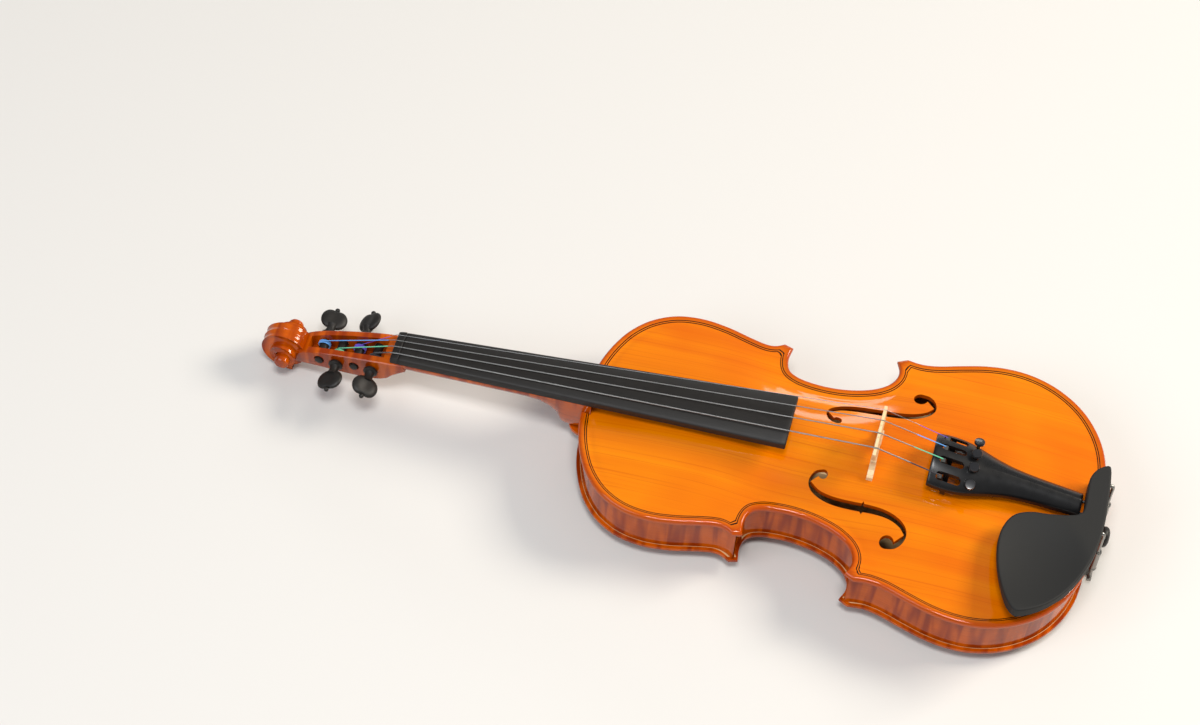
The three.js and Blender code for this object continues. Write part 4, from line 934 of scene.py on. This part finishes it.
def on_peg(name):
    """Places (a, run, b) about the peg's axis: turned by its own angle, and mirrored for a bass-side peg."""
    side, turned = PEG_TURNS[name]
    c, s = math.cos(turned), math.sin(turned)

    def place(ring):
        a, b = ring[..., 0], ring[..., 2]
        return on_pegbox(np.dstack([
            PEG_PLACES[name] + a * c + b * s, side * ring[..., 1], -PEG_DROP - a * s + b * c]))

    return place


def grip_grid(start):
    """Flattened ellipsoid, 16.4 x 13.6 x 5.8 mm, pinched in the middle of its flat faces."""
    pole = np.linspace(-np.pi / 2, np.pi / 2, 33)[:, None]
    turn = np.linspace(0, 2 * np.pi, 48, endpoint=False)
    ring = np.cos(pole) ** 0.75
    a = 8.2 * ring * np.sign(np.cos(turn)) * np.abs(np.cos(turn)) ** 0.9
    pinch = 1 - 0.38 * np.exp(-(a / 4.5) ** 2) * np.cos(pole) ** 2
    b = 2.9 * ring * np.sin(turn) * pinch
    run = start + 6.8 * np.sin(pole) - 0.9 * np.exp(-(a / 3) ** 2) * (np.sin(pole) > 0) * np.sin(pole)
    return np.dstack([a, run, b])


def coil(radius, wire, turns, first):
    """Round wire of the given radius, wound close into a helix about the run axis: ten points round the
    wire, and 36 rings in a turn."""
    t = np.linspace(0, 2 * np.pi * turns, 36 * turns)[:, None]
    around = np.linspace(0, 2 * np.pi, 10, endpoint=False)[None, :]
    out = radius + wire * np.cos(around)
    run = first + 2 * wire * t / (2 * np.pi) + wire * np.sin(around)
    return np.dstack([out * np.cos(t), run, out * np.sin(t)])


def thread_silk(name, hex_colour):
    """Silk thread lapped round the string's end: a dull cloth sheen with a very fine wrap."""
    material, tree, shader = new_finish(name, Base_Color=linear(hex_colour), Roughness=0.75,
                                        Sheen_Weight=0.3)
    place = add_node(tree, "ShaderNodeTexCoord").outputs["Object"]
    wrap = add_node(tree, "ShaderNodeTexWave", {"Scale": 900.0, "Distortion": 0.6}, {"Vector": place})
    bump = add_node(tree, "ShaderNodeBump", {"Strength": 0.4, "Distance": 0.0002},
                    {"Height": wrap.outputs[0]})
    tree.links.new(bump.outputs[0], shader.inputs["Normal"])
    return material


SILKS = {
    "e": thread_silk("violet silk thread", "6244C4"),
    "a": thread_silk("blue silk thread", "5A9CE0"),
    "d": thread_silk("green silk thread", "5CBC90"),
    "g": thread_silk("black silk thread", "24222A"),
}
COIL_INSIDE = 3.3
COIL_START, COIL_LENGTH = 1.4, 2.4
THINNEST_COIL = 0.3
for name in PEG_TURNS:
    cheek = float(cheek_at(PEG_PLACES[name]))
    shaft = [
        (0, -cheek - 1.5), (1.6, -cheek - 1.4), (2.5, -cheek - 1), (3, cheek + .6), (3.9, cheek + .8),
        (4.4, cheek + 1.2), (4.4, cheek + 2.3), (3.9, cheek + 2.8), (3.2, cheek + 3.2), (2.9, cheek + 4.2),
        (2.6, cheek + 6), (2.9, cheek + 7.6), (3.4, cheek + 9), (0, cheek + 10),
    ]
    ball = [(1.5 * math.cos(a), cheek + 20.2 + 1.5 * math.sin(a)) for a in np.linspace(-1.57, 1.57, 13)]
    grip = grid_mesh("grip", on_peg(name)(grip_grid(cheek + 13.2)), wrap_columns=True, caps=True)
    peg = one_object(f"turned_peg_{name}", [
        spun("shaft", shaft, on_peg(name)), grip, spun("ball", ball, on_peg(name))])
    dress(peg, ebony)
    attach(peg, f"peg_{name}")
    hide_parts(f"peg_{name}")
    wire = max(STRINGS[name][1], THINNEST_COIL)
    turns = int(COIL_LENGTH / (2 * wire))
    helix = coil(COIL_INSIDE + wire, wire, turns, COIL_START + wire)
    wound = grid_mesh(f"coil_{name}", on_peg(name)(helix), wrap_columns=True, caps=True)
    dress(wound, SILKS[name])
    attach(wound, f"peg_{name}")
    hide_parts(f"winding_{name}")


# ---- tailpiece, tuner levers and tailgut ---------------------------------------------------------------
# One moulding of satin black plastic with a low ridge, four slots and four built-in fine tuners: a turned
# brass screw with a black head presses on a bent nickel lever that holds the string's end. A nylon gut
# loops from its narrow end, over the saddle, to the button.
TAIL_HALF = [
    (52.5, 17.8), (58, 18.6), (66, 18.7), (74, 17.6), (82, 15.2), (90, 12.6), (100, 10.2), (112, 8.8),
    (126, 8.1), (143.3, 7.6),
]
TAIL_START, TAIL_LENGTH = 52.5, 90.8
TUNER_X, LEVER_X = 77.5, 63.0
STRING_GAP_AT_TAIL = 8.9


def tail_half(x):
    """Half-width of the tailpiece, read from the smooth curve through its rows."""
    rows = curve_through(TAIL_HALF, 200)
    return np.interp(x, rows[:, 0], rows[:, 1])


def tail_top(x, y):
    """Crown falling from 31 to 15.6 mm along the piece, less a drop of 9.4 to 4.2 mm at the sides."""
    share = np.clip((np.asarray(x, float) - TAIL_START) / TAIL_LENGTH, 0, 1)
    drop = 9.4 - 5.2 * share**0.7
    s = np.clip(np.abs(np.asarray(y, float) / tail_half(x)), 0, 1)
    return 31 - 15.4 * share - drop * s**2


def tailpiece_grid():
    """Section: a crowned top with rounded edges, a wall 3 mm deep, and a hollow underside."""
    x = np.concatenate([[52.5, 52.7, 53.2, 54], np.linspace(55, 141.5, 90), [142.6, 143.1, 143.3]])[:, None]
    ease = np.zeros(len(x))
    ease[[0, 1, 2, -2, -1]] = 0.8, 0.4, 0.1, 0.3, 0.9
    ease = ease[:, None]
    half = tail_half(x) - 0.5 * ease
    rounded = [0.94, 0.975, 0.995, 1]
    across = np.array([*(-r for r in rounded[::-1]), *np.linspace(-0.89, 0.89, 37), *rounded])[None, :]
    y = across * half
    round_over = 0.9 * np.clip((np.abs(across) - 0.94) / 0.06, 0, 1) ** 2.5
    ridge = 0.35 * np.exp(-np.abs(y) / 1.6) * np.clip((x - 82) / 12, 0, 1)
    top_z = tail_top(x, y) - round_over - ease + ridge - 0.15
    low = np.array([1, 0.93, 0.88, 0.4, 0, -0.4, -0.88, -0.93, -1])[None, :]
    low_y = low * half
    hollow = np.where(np.abs(low) < 0.9, tail_top(x, low_y) - 2.7, tail_top(x, low_y) - 3.4)
    rows = [np.dstack([np.broadcast_to(x, y.shape), y, top_z]),
            np.dstack([np.broadcast_to(x, low_y.shape), low_y, hollow + 0.3 * ease])]
    return np.concatenate(rows, axis=1)


def moulded_black():
    """Polished mould, slightly worn by hands: a satin highlight whose width wanders from place to place."""
    material, tree, shader = new_finish("satin black moulded plastic", Base_Color=linear("0F0F10"),
                                        Specular_IOR_Level=0.42)
    place = add_node(tree, "ShaderNodeTexCoord").outputs["Object"]
    haze = add_node(tree, "ShaderNodeTexNoise", {"Scale": 180.0, "Detail": 3.0}, {"Vector": place})
    rough = add_node(tree, "ShaderNodeMapRange", {"To Min": 0.22, "To Max": 0.36}, {"Value": haze.outputs[0]})
    tree.links.new(rough.outputs[0], shader.inputs["Roughness"])
    return material


def smooth_path(points, count):
    """Catmull-Rom curve through the points, cut into equal lengths twice, so that they come out even."""
    return resampled(curve_through(points, 400), count)


def tube(name, line, radius, sides=14):
    """Round tube along a line of millimetre points. Each ring stands square to the line, and its frame is
    carried along from ring to ring, so that it doesn't twist."""
    along = np.gradient(line, axis=0)
    along /= np.linalg.norm(along, axis=1)[:, None]
    side = np.cross(along[0], (0.13, 0.31, 1.0))
    around = np.linspace(0, 2 * np.pi, sides, endpoint=False)[:, None]
    rings = []
    for place, ahead in zip(line, along):
        side = side - ahead * (side @ ahead)
        side /= np.linalg.norm(side)
        rings.append(place + radius * (np.cos(around) * side + np.sin(around) * np.cross(ahead, side)))
    return grid_mesh(name, np.array(rings), wrap_columns=True, caps=True)


plastic = moulded_black()
tail = grid_mesh("moulded_tailpiece", tailpiece_grid(), wrap_columns=True, caps=True)
dress(tail, plastic)
SLOT_ENDS, SLOT_HALF = (59.0, 69.6), 2.2
SCREW_HOLE = 1.65
openings = []
for across, _ in STRINGS.values():
    y = across * STRING_GAP_AT_TAIL
    slot = np.vstack([
        arc((SLOT_ENDS[0], y), SLOT_HALF, 90, 270, 14),
        arc((SLOT_ENDS[1], y), SLOT_HALF, -90, 90, 14),
    ])
    openings.append(prism("slot", slot, 0, 40, plastic))
    openings.append(prism("screw hole", arc((TUNER_X, y), SCREW_HOLE, 0, 345, 24), 0, 40, plastic))
joined_solid(tail, openings, "DIFFERENCE")

# Under each string two lugs reach down from the moulding and hold the lever's pin between them.
PIN_DROP, PIN_RADIUS, PIN_HALF = 8.4, 0.75, 3.6
LUG_OUT, LUG_HALF_LENGTH, LUG_HALF_WIDTH = 3.4, 1.6, 0.5
parts = [tail]
for across, _ in STRINGS.values():
    y = across * STRING_GAP_AT_TAIL
    pin_z = float(tail_top(TUNER_X, y)) - PIN_DROP
    x0, x1 = LEVER_X - LUG_HALF_LENGTH, LEVER_X + LUG_HALF_LENGTH
    for side in (-1, 1):
        lug_y = y + side * LUG_OUT
        y0, y1 = lug_y - LUG_HALF_WIDTH, lug_y + LUG_HALF_WIDTH
        lug_top = float(tail_top(LEVER_X, lug_y + np.array([-0.6, 0.6])).min()) - 2.4
        parts.append(prism("lug", [(x0, y0), (x1, y0), (x1, y1), (x0, y1)], pin_z - 1.5, lug_top))
    pin = [(0, y - PIN_HALF), (PIN_RADIUS, y - PIN_HALF), (PIN_RADIUS, y + PIN_HALF), (0, y + PIN_HALF)]
    parts.append(spun("pin", pin, lambda ring, pin_z=pin_z: ring + (LEVER_X, 0, pin_z), sides=16))
tailpiece = one_object("tailpiece_body", parts)
dress(tailpiece, plastic)
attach(tailpiece, "root")
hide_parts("tailpiece")

# Plated steel: grey mirror with a soft blur. Bare brass: warm and bright. Lacquer over brass: a glossy black.
nickel, _, _ = new_finish("nickel plate", Base_Color=linear("8E8C88"), Metallic=1.0, Roughness=0.3)
brass, _, _ = new_finish("turned brass", Base_Color=linear("C79A4B"), Metallic=1.0, Roughness=0.26)
blacked, _, _ = new_finish("black lacquered screw head", Base_Color=linear("17171A"), Roughness=0.28,
                           Coat_Weight=0.5)


SCREW_LEAN = math.radians(-12)


def lean_to(across, x, y, z):
    """Places (a, run, b) about an axis through the point, which leans out by 12 degrees per string place."""
    lean = SCREW_LEAN * across
    c, s = math.cos(lean), math.sin(lean)

    def place(ring):
        side, up = ring[..., 2], ring[..., 1]
        return np.dstack([x + ring[..., 0], y + side * c - up * s, z + side * s + up * c])

    return place


def knurled(low, high):
    """Thirty shallow ribs round a screw head between two heights, as a factor on its radius."""
    return lambda turn, run: 1 - 0.015 * (1 + np.cos(30 * turn)) * (run > low) * (run < high)


def face_centres(piece):
    """Middle of every face, in millimetres from the body's middle."""
    centres = np.empty(len(piece.data.polygons) * 3)
    piece.data.polygons.foreach_get("center", centres)
    return centres.reshape(-1, 3) * 1000 - ORIGIN


# The E string's screw is nearly turned out, and the others stand about half way.
for name, (across, _) in STRINGS.items():
    y = across * STRING_GAP_AT_TAIL
    crown = float(tail_top(TUNER_X, y))
    place = lean_to(across, TUNER_X, y, crown)
    raised = 3.2 if name == "e" else 1.2
    post = [(0, -6.5), (0.9, -6.5), (1.05, -6.1), (1.05, raised - 0.2), (1.9, raised - 0.1),
            (2.1, raised + 0.2), (2.1, raised + 0.7), (0, raised + 0.75)]
    head = [(0, raised + 0.6), (2.9, raised + 0.65), (3.15, raised + 0.9), (3.15, raised + 2.3),
            (2.85, raised + 2.7), (2.0, raised + 2.8), (0, raised + 2.8)]
    knurl = knurled(raised + 0.7, raised + 2.4)
    post, head = spun("post", post, place), spun("head", head, place, sides=180, wave=knurl)
    screw = one_object(f"brass_screw_{name}", [post, head])
    dress(screw, brass)
    screw.data.materials.append(blacked)
    centres = face_centres(screw) - (TUNER_X, y, crown)
    lean = SCREW_LEAN * across
    up = -centres[:, 1] * math.sin(lean) + centres[:, 2] * math.cos(lean)
    screw.data.polygons.foreach_set("material_index", (up > raised + 0.55).astype(np.int32))
    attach(screw, f"tuner_screw_{name}")
    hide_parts(f"tuner_screw_{name}")
    dress(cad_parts[f"tuner_lever_{name}"], nickel)

half_gut = [
    (141, 4.4, 7.2), (147.5, 4.4, 7.4), (152.5, 4.6, 6.4), (157, 4.9, 4.9), (158.6, 5.1, -1),
    (158.4, 5.6, -12), (158.4, 5.4, -18.5), (158.4, 3.2, -21.9), (158.4, 0, -23.1),
]
GUT_RADIUS = 1.0
whole_gut = half_gut + [(x, -y, z) for x, y, z in half_gut[-2::-1]]
gut = tube("nylon_gut", smooth_path(whole_gut, 200), GUT_RADIUS)
# Drawn nylon: smooth, with a narrow highlight along its length.
nylon, _, _ = new_finish("black nylon cord", Base_Color=linear("1A1A1C"), Roughness=0.35)
dress(gut, nylon)
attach(gut, "root")
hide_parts("tailgut")


# ---- bridge --------------------------------------------------------------------------------------------
# Bare maple, cut from one thin piece with two feet, a waist and a heart, and thinner at the top. It stands
# on the top plate by the strings' pressure alone, so its feet follow the arch.
BRIDGE_X = 20.0
BRIDGE_TOP = 40.5
FEET_THICKNESS, TOP_THICKNESS = 3.8, 1.6
FLANK = [
    (13.4, 3.6), (11.6, 7), (11.4, 9.4), (8.2, 11), (7.2, 13.8), (9, 16.6), (11.8, 16.6), (13.6, 14.8),
    (15.4, 17.6), (16.6, 21), (17.8, 24),
]
HEART = [(0, 10.4), (2, 13.6), (4, 15.8), (4.3, 18.2), (2.6, 19.6), (.7, 18.2), (0, 16.8)]


def bridge_top(y):
    """Height of the bridge's crest, a parabola of 37 mm radius at its middle."""
    return BRIDGE_TOP - y**2 / 74


def bridge_outline():
    """Half outline, from the middle of the underside out and up to the top's middle, then mirrored. The
    sole follows the plate's arch, and its height under the foot's middle is given back too."""
    far_from_edge = 40.0
    foot = float(top_outer(np.array(BRIDGE_X), np.array(12.0), np.array(far_from_edge))) + 0.6
    on_arch = np.linspace(7.4, 17.6, 12)
    sole_z = top_outer(np.full(12, BRIDGE_X), on_arch, np.full(12, far_from_edge)) + 0.05
    sole = np.column_stack([on_arch, sole_z])
    inner = np.array([(0, 6.6), (4.2, 5.2), (6.4, 2.8)]) + (0, foot)
    toe = np.array([(17.5, 1.2), (16.6, 2.2)]) + (0, foot)
    flank = curve_through(np.array(FLANK) + (0, foot), 60)
    crown_y = np.linspace(17.7, 0, 60)
    notch = sum(0.3 * np.exp(-((crown_y[None] - across * STRING_AT_BRIDGE) / 0.5) ** 4)
                for across, _ in STRINGS.values() if across > 0).reshape(-1)
    crown = np.column_stack([crown_y, bridge_top(crown_y) - notch])
    half = np.vstack([curve_through(inner, 20), sole, toe, flank, crown])
    return np.vstack([half, half[-2:0:-1] * (-1, 1)]), foot


def thick_slab(name, outline, foot, extra=0.0):
    """Upright slab over a (y, z) outline, 3.8 mm thick at the feet and 1.6 mm at the top, which leans by
    0.35 mm towards the neck."""
    share = (outline[:, 1] - foot) / (BRIDGE_TOP - foot)
    thickness = FEET_THICKNESS - (FEET_THICKNESS - TOP_THICKNESS) * np.clip(share, 0, 1) + extra
    shift = 0.35 * np.clip(share, 0, None)
    faces = [np.column_stack([BRIDGE_X + side * thickness / 2 - shift, outline]) for side in (-1, 1)]
    return grid_mesh(name, np.stack(faces), wrap_columns=True, caps=True)


def bare_maple():
    """Pale wood with short dark ray flecks, 0.3 mm by 2 mm, and no varnish."""
    material, tree, shader = new_finish("bare bridge maple", Roughness=0.55)
    place = add_node(tree, "ShaderNodeTexCoord").outputs["Object"]
    rays = add_node(tree, "ShaderNodeMapping", {"Scale": (900.0, 500.0, 2600.0)}, {"Vector": place})
    fleck = add_node(tree, "ShaderNodeTexNoise", {"Scale": 1.0, "Detail": 1.0}, {"Vector": rays.outputs[0]})
    mask = add_node(tree, "ShaderNodeMapRange", {"From Min": 0.58, "From Max": 0.72, "To Max": 0.45},
                    {"Value": fleck.outputs[0]})
    base = add_node(tree, "ShaderNodeMix", {6: linear("E2C294"), 7: linear("B08050")}, {0: mask.outputs[0]},
                    data_type="RGBA")
    tree.links.new(base.outputs[2], shader.inputs["Base Color"])
    return material


outline, foot_z = bridge_outline()
bridge = thick_slab("cut_bridge", outline, foot_z)
pale = bare_maple()
dress(bridge, pale)
heart_half = curve_through(np.array(HEART) + (0, foot_z), 50)
heart = thick_slab("heart", np.vstack([heart_half, heart_half[-2:0:-1] * (-1, 1)]), foot_z, 2.0)
dress(heart, pale)
joined_solid(bridge, [heart], "DIFFERENCE")
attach(bridge, "root")
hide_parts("bridge")


# ---- strings -------------------------------------------------------------------------------------------
# A plain steel E and three steel-wound strings, hooked into the tuner levers and led over the bridge and
# the nut to the pegs. The last 18 mm before the lever are lapped with coloured silk.
SILK_LENGTH = 18.0
TAIL_HOOK = LEVER_X - 4


def wound_steel(name, scale):
    """Flat steel ribbon wound on a core: a grey metal whose highlight is broken up along the string. Real
    windings are 0.15 mm apart. These are drawn at 0.4 mm, so that they don't shimmer."""
    material, tree, shader = new_finish(name, Base_Color=linear("8A8A88"), Metallic=1.0, Roughness=0.38)
    place = add_node(tree, "ShaderNodeTexCoord").outputs["Object"]
    wrap = add_node(tree, "ShaderNodeTexWave", {"Scale": scale}, {"Vector": place}, bands_direction="X")
    bump = add_node(tree, "ShaderNodeBump", {"Strength": 0.3, "Distance": 0.0001},
                    {"Height": wrap.outputs[0]})
    tree.links.new(bump.outputs[0], shader.inputs["Normal"])
    return material


# Drawn steel: one clean bright line along the E string.
plain_steel, _, _ = new_finish("plain steel wire", Base_Color=linear("A2A2A0"), Metallic=1.0, Roughness=0.3)
wound_wire = wound_steel("flat-wound steel", 800.0)
for name, (across, radius) in STRINGS.items():
    side, _ = PEG_TURNS[name]
    lift = radius + 0.3
    on_nut, on_bridge = across * STRING_AT_NUT, across * STRING_AT_BRIDGE
    at_peg = on_pegbox([(PEG_PLACES[name], side * 2.0, 4.1 + lift - PEG_DROP)])[0]
    at_tail = across * STRING_GAP_AT_TAIL
    nodes_on_path = [
        at_peg,
        (NUT_X - 5.5, on_nut, nut_top(on_nut) - 1.4 + lift + 0.2),
        (NUT_X - 0.5, on_nut, nut_top(on_nut) + radius - 0.1),
        (BRIDGE_X - 1.2, on_bridge, bridge_top(on_bridge) + radius - 0.25),
        (BRIDGE_X + 0.6, on_bridge, bridge_top(on_bridge) + radius - 0.25),
        (TAIL_HOOK, at_tail, float(tail_top(TAIL_HOOK, at_tail)) + 0.2),
    ]
    steps = (12, 4, 60, 3, 30)
    spans = [np.linspace(a, b, n, endpoint=False)
             for a, b, n in zip(nodes_on_path[:-1], nodes_on_path[1:], steps)]
    wire = tube(f"drawn_string_{name}", np.vstack(spans + [nodes_on_path[-1:]]), radius, sides=12)
    dress(wire, plain_steel if name == "e" else wound_wire)
    wire.data.materials.append(SILKS[name])
    along = face_centres(wire)[:, 0]
    silk = (along > TAIL_HOOK - SILK_LENGTH) | (along < NUT_X - 9)
    wire.data.polygons.foreach_set("material_index", silk.astype(np.int32))
    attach(wire, "root")
    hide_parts(f"string_{name}")


# ---- chinrest ------------------------------------------------------------------------------------------
# A moulded matte black plate with a dished cup over the bass side of the tail. It stands on two feet with
# cork under them, and two nickel rods and barrels draw a clamp foot against the back.
REST_OUTER = [
    (151.6, 24.4), (155.4, 24.5), (157.2, 12), (157.8, -2), (158.1, -14), (157.4, -27), (154.7, -41),
    (150, -53.6), (143.6, -65.5), (136, -75.2), (128, -81.8), (119.6, -86), (115.4, -84.6),
]
REST_INNER = [
    (151.6, 24.4), (147.6, 20.6), (144.8, 14), (144.6, 4), (145, -5), (143.6, -11.4), (137, -14.8),
    (126, -17), (115.5, -18.4), (106.6, -22.6), (101.6, -31), (100.4, -42), (102.6, -56), (106.4, -68.2),
    (111.4, -79.5), (115.4, -84.6),
]
CUP = (121.0, -50.0, 109.4)
CUP_RADIUS = 95.0
REST_LEVEL = 19.95
REST_ROUND = 1.2


def rest_grid():
    """Ruled sheet from the outer side to the inner side. The top is level at 20 mm and dips softly into the
    cup, which is a sphere of 95 mm radius, and every edge is rounded by 1.2 mm."""
    outer, inner = curve_through(REST_OUTER, 180), curve_through(REST_INNER, 180)
    ease = np.sin(np.linspace(-np.pi / 2, np.pi / 2, 44)) * 0.5 + 0.5
    plan_rest = outer[:, None] + (inner - outer)[:, None] * ease[None, :, None]
    x, y = plan_rest[..., 0], plan_rest[..., 1]
    rim = np.vstack([outer, inner[-2:0:-1]])
    start, run = rim, np.roll(rim, -1, axis=0) - rim
    off = plan_rest[:, :, None] - start
    share = np.clip((off * run).sum(3) / np.maximum((run**2).sum(1), 1e-9), 0, 1)
    near = np.linalg.norm(off - share[..., None] * run, axis=3).min(2)
    away = (x - CUP[0]) ** 2 + (y - CUP[1]) ** 2
    dish = CUP[2] - np.sqrt(CUP_RADIUS**2 - away)
    soft = 0.6
    top_z = REST_LEVEL - soft * np.log1p(np.exp((REST_LEVEL - dish) / soft))
    top_z = top_z - REST_ROUND * (1 - np.sqrt(1 - (1 - np.clip(near / REST_ROUND, 0, 1)) ** 2))
    raise_front = 1.7 * (0.5 - 0.5 * np.tanh((x - 141) / 1.5))
    low_z = 10.5 + raise_front + 0.5 * (1 - np.clip(near / 0.8, 0, 1)) ** 2
    return np.concatenate([np.dstack([x, y, top_z]), np.dstack([x, y, low_z])[:, ::-1]], axis=1)


def matte_plastic():
    """Moulded with a spark-eroded texture: bumps of about 0.5 mm that keep every highlight broad and dim."""
    material, tree, shader = new_finish("matte black moulded plastic", Base_Color=linear("1C1C1B"),
                                        Roughness=0.66, Specular_IOR_Level=0.3)
    place = add_node(tree, "ShaderNodeTexCoord").outputs["Object"]
    stipple = add_node(tree, "ShaderNodeTexNoise", {"Scale": 1900.0, "Detail": 2.0}, {"Vector": place})
    bump = add_node(tree, "ShaderNodeBump", {"Strength": 0.25, "Distance": 0.0002},
                    {"Height": stipple.outputs[0]})
    tree.links.new(bump.outputs[0], shader.inputs["Normal"])
    return material


CLAMP_X, CLAMP_HALF = 159.4, 17.0
ROD_RADIUS = 1.1
PAD_LOW, PAD_HIGH, FOOT_HIGH = 0.1, 2.4, 12


def foot_plan(side, spread=0.0):
    """Rectangle under one foot of the plate, made larger all round by the spread."""
    x0, x1 = 149.5 - spread, 154.5 + spread
    y0, y1 = side * (14.8 - spread), side * (24 + spread)
    return [(x0, y0), (x1, y0), (x1, y1), (x0, y1)]


rest_parts = [grid_mesh("plate", rest_grid(), wrap_columns=True, caps=True)]
for side in (-1, 1):
    rest_parts.append(prism("foot", foot_plan(side), PAD_HIGH, FOOT_HIGH))
rest = one_object("moulded_rest", rest_parts)
dress(rest, matte_plastic())
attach(rest, "root")
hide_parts("chinrest")
rods = []
for side in (-1, 1):
    y = side * CLAMP_HALF
    bent = [(154, y, 12.2), (158, y, 11.9), (CLAMP_X, y, 10.4), (CLAMP_X, y, 4), (CLAMP_X, y, -9.5)]
    rods.append(tube("rod", smooth_path(bent, 120), ROD_RADIUS))
rods = one_object("clamp_rods", rods)
dress(rods, nickel)
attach(rods, "root")

# Sheet cork, cut with a knife: tan and quite dull.
cork, _, _ = new_finish("cork pad", Base_Color=linear("B88B5A"), Roughness=0.9)
pads = []
for side in (-1, 1):
    pads.append(prism("pad", foot_plan(side, 0.2), PAD_LOW, PAD_HIGH))
pads = one_object("cork_pads", pads)
dress(pads, cork)
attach(pads, "root")

# Each barrel is turned from one bar, with a collar at both ends and two cross holes for the key.
BARREL = [
    (1.45, -26.6), (2.1, -26.6), (2.3, -26.3), (2.3, -25.2), (2.05, -24.9), (2.05, -9.3), (2.3, -9.0),
    (2.3, -7.9), (2.1, -7.6), (1.45, -7.6),
]
KEY_HOLES, KEY_RADIUS = (-20.5, -13.5), 0.6
for side_name, side in (("bass", -1), ("treble", 1)):
    shape = spun(f"turned_barrel_{side_name}", BARREL, lambda ring, side=side: np.dstack([
        CLAMP_X + ring[..., 0], side * CLAMP_HALF + ring[..., 2], ring[..., 1]]), sides=40)
    key_holes = []
    for z in KEY_HOLES:
        through = [(x, side * CLAMP_HALF, z) for x in (CLAMP_X - 4, CLAMP_X, CLAMP_X + 4)]
        key_holes.append(tube("hole", smooth_path(through, 120), KEY_RADIUS))
    joined_solid(shape, key_holes, "DIFFERENCE")
    dress(shape, nickel)
    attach(shape, f"chinrest_barrel_{side_name}")
    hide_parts(f"chinrest_barrel_{side_name}")
dress(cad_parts["chinrest_clamp_foot"], nickel)


# ---- table and light -----------------------------------------------------------------------------------
# A plain pale matt table top, 12 m square, so that its edge is never seen. A warm lamp at the tail's treble
# side gives the highlights, and larger, weaker ones open the shadows.
def table():
    """The table: dull enough to show only a soft shadow."""
    mesh = bpy.data.meshes.new("table")
    half = 6.0
    corners = [(-half, -half, 0), (half, -half, 0), (half, half, 0), (-half, half, 0)]
    mesh.from_pydata(corners, [], [(0, 1, 2, 3)])
    top = bpy.data.objects.new("table", mesh)
    bpy.context.scene.collection.objects.link(top)
    material, _, _ = new_finish("pale table", Base_Color=linear("CFCDC9"), Roughness=0.7)
    dress(top, material)


def softbox(name, place, size, power, colour="FFFFFF"):
    """Rectangular lamp at the place in metres, turned towards the middle of the object."""
    lamp = bpy.data.lights.new(name, "AREA")
    lamp.shape = "RECTANGLE"
    lamp.size, lamp.size_y = size
    lamp.energy = power
    lamp.color = linear(colour)[:3]
    holder = bpy.data.objects.new(name, lamp)
    bpy.context.scene.collection.objects.link(holder)
    holder.location = place
    holder.rotation_euler = (-Vector(place)).to_track_quat("-Z", "Y").to_euler()


table()
softbox("key", (1.9, 1.0, 1.7), (1.1, 0.9), 70, "FFF6E8")
softbox("fill", (-1.3, -1.6, 1.9), (1.6, 1.6), 28, "F2F6FF")
softbox("overhead", (0.1, -0.75, 2.2), (0.6, 0.4), 30)
softbox("rim", (-0.5, 2.6, 1.0), (1.8, 0.3), 8)
world = bpy.data.worlds.new("studio")
world.use_nodes = True
world.node_tree.nodes["Background"].inputs[0].default_value = linear("E8EAEE")
world.node_tree.nodes["Background"].inputs[1].default_value = 0.32
bpy.context.scene.world = world
# Plain display colours, so that the orange of the varnish keeps its full strength.
bpy.context.scene.view_settings.view_transform = "Standard"
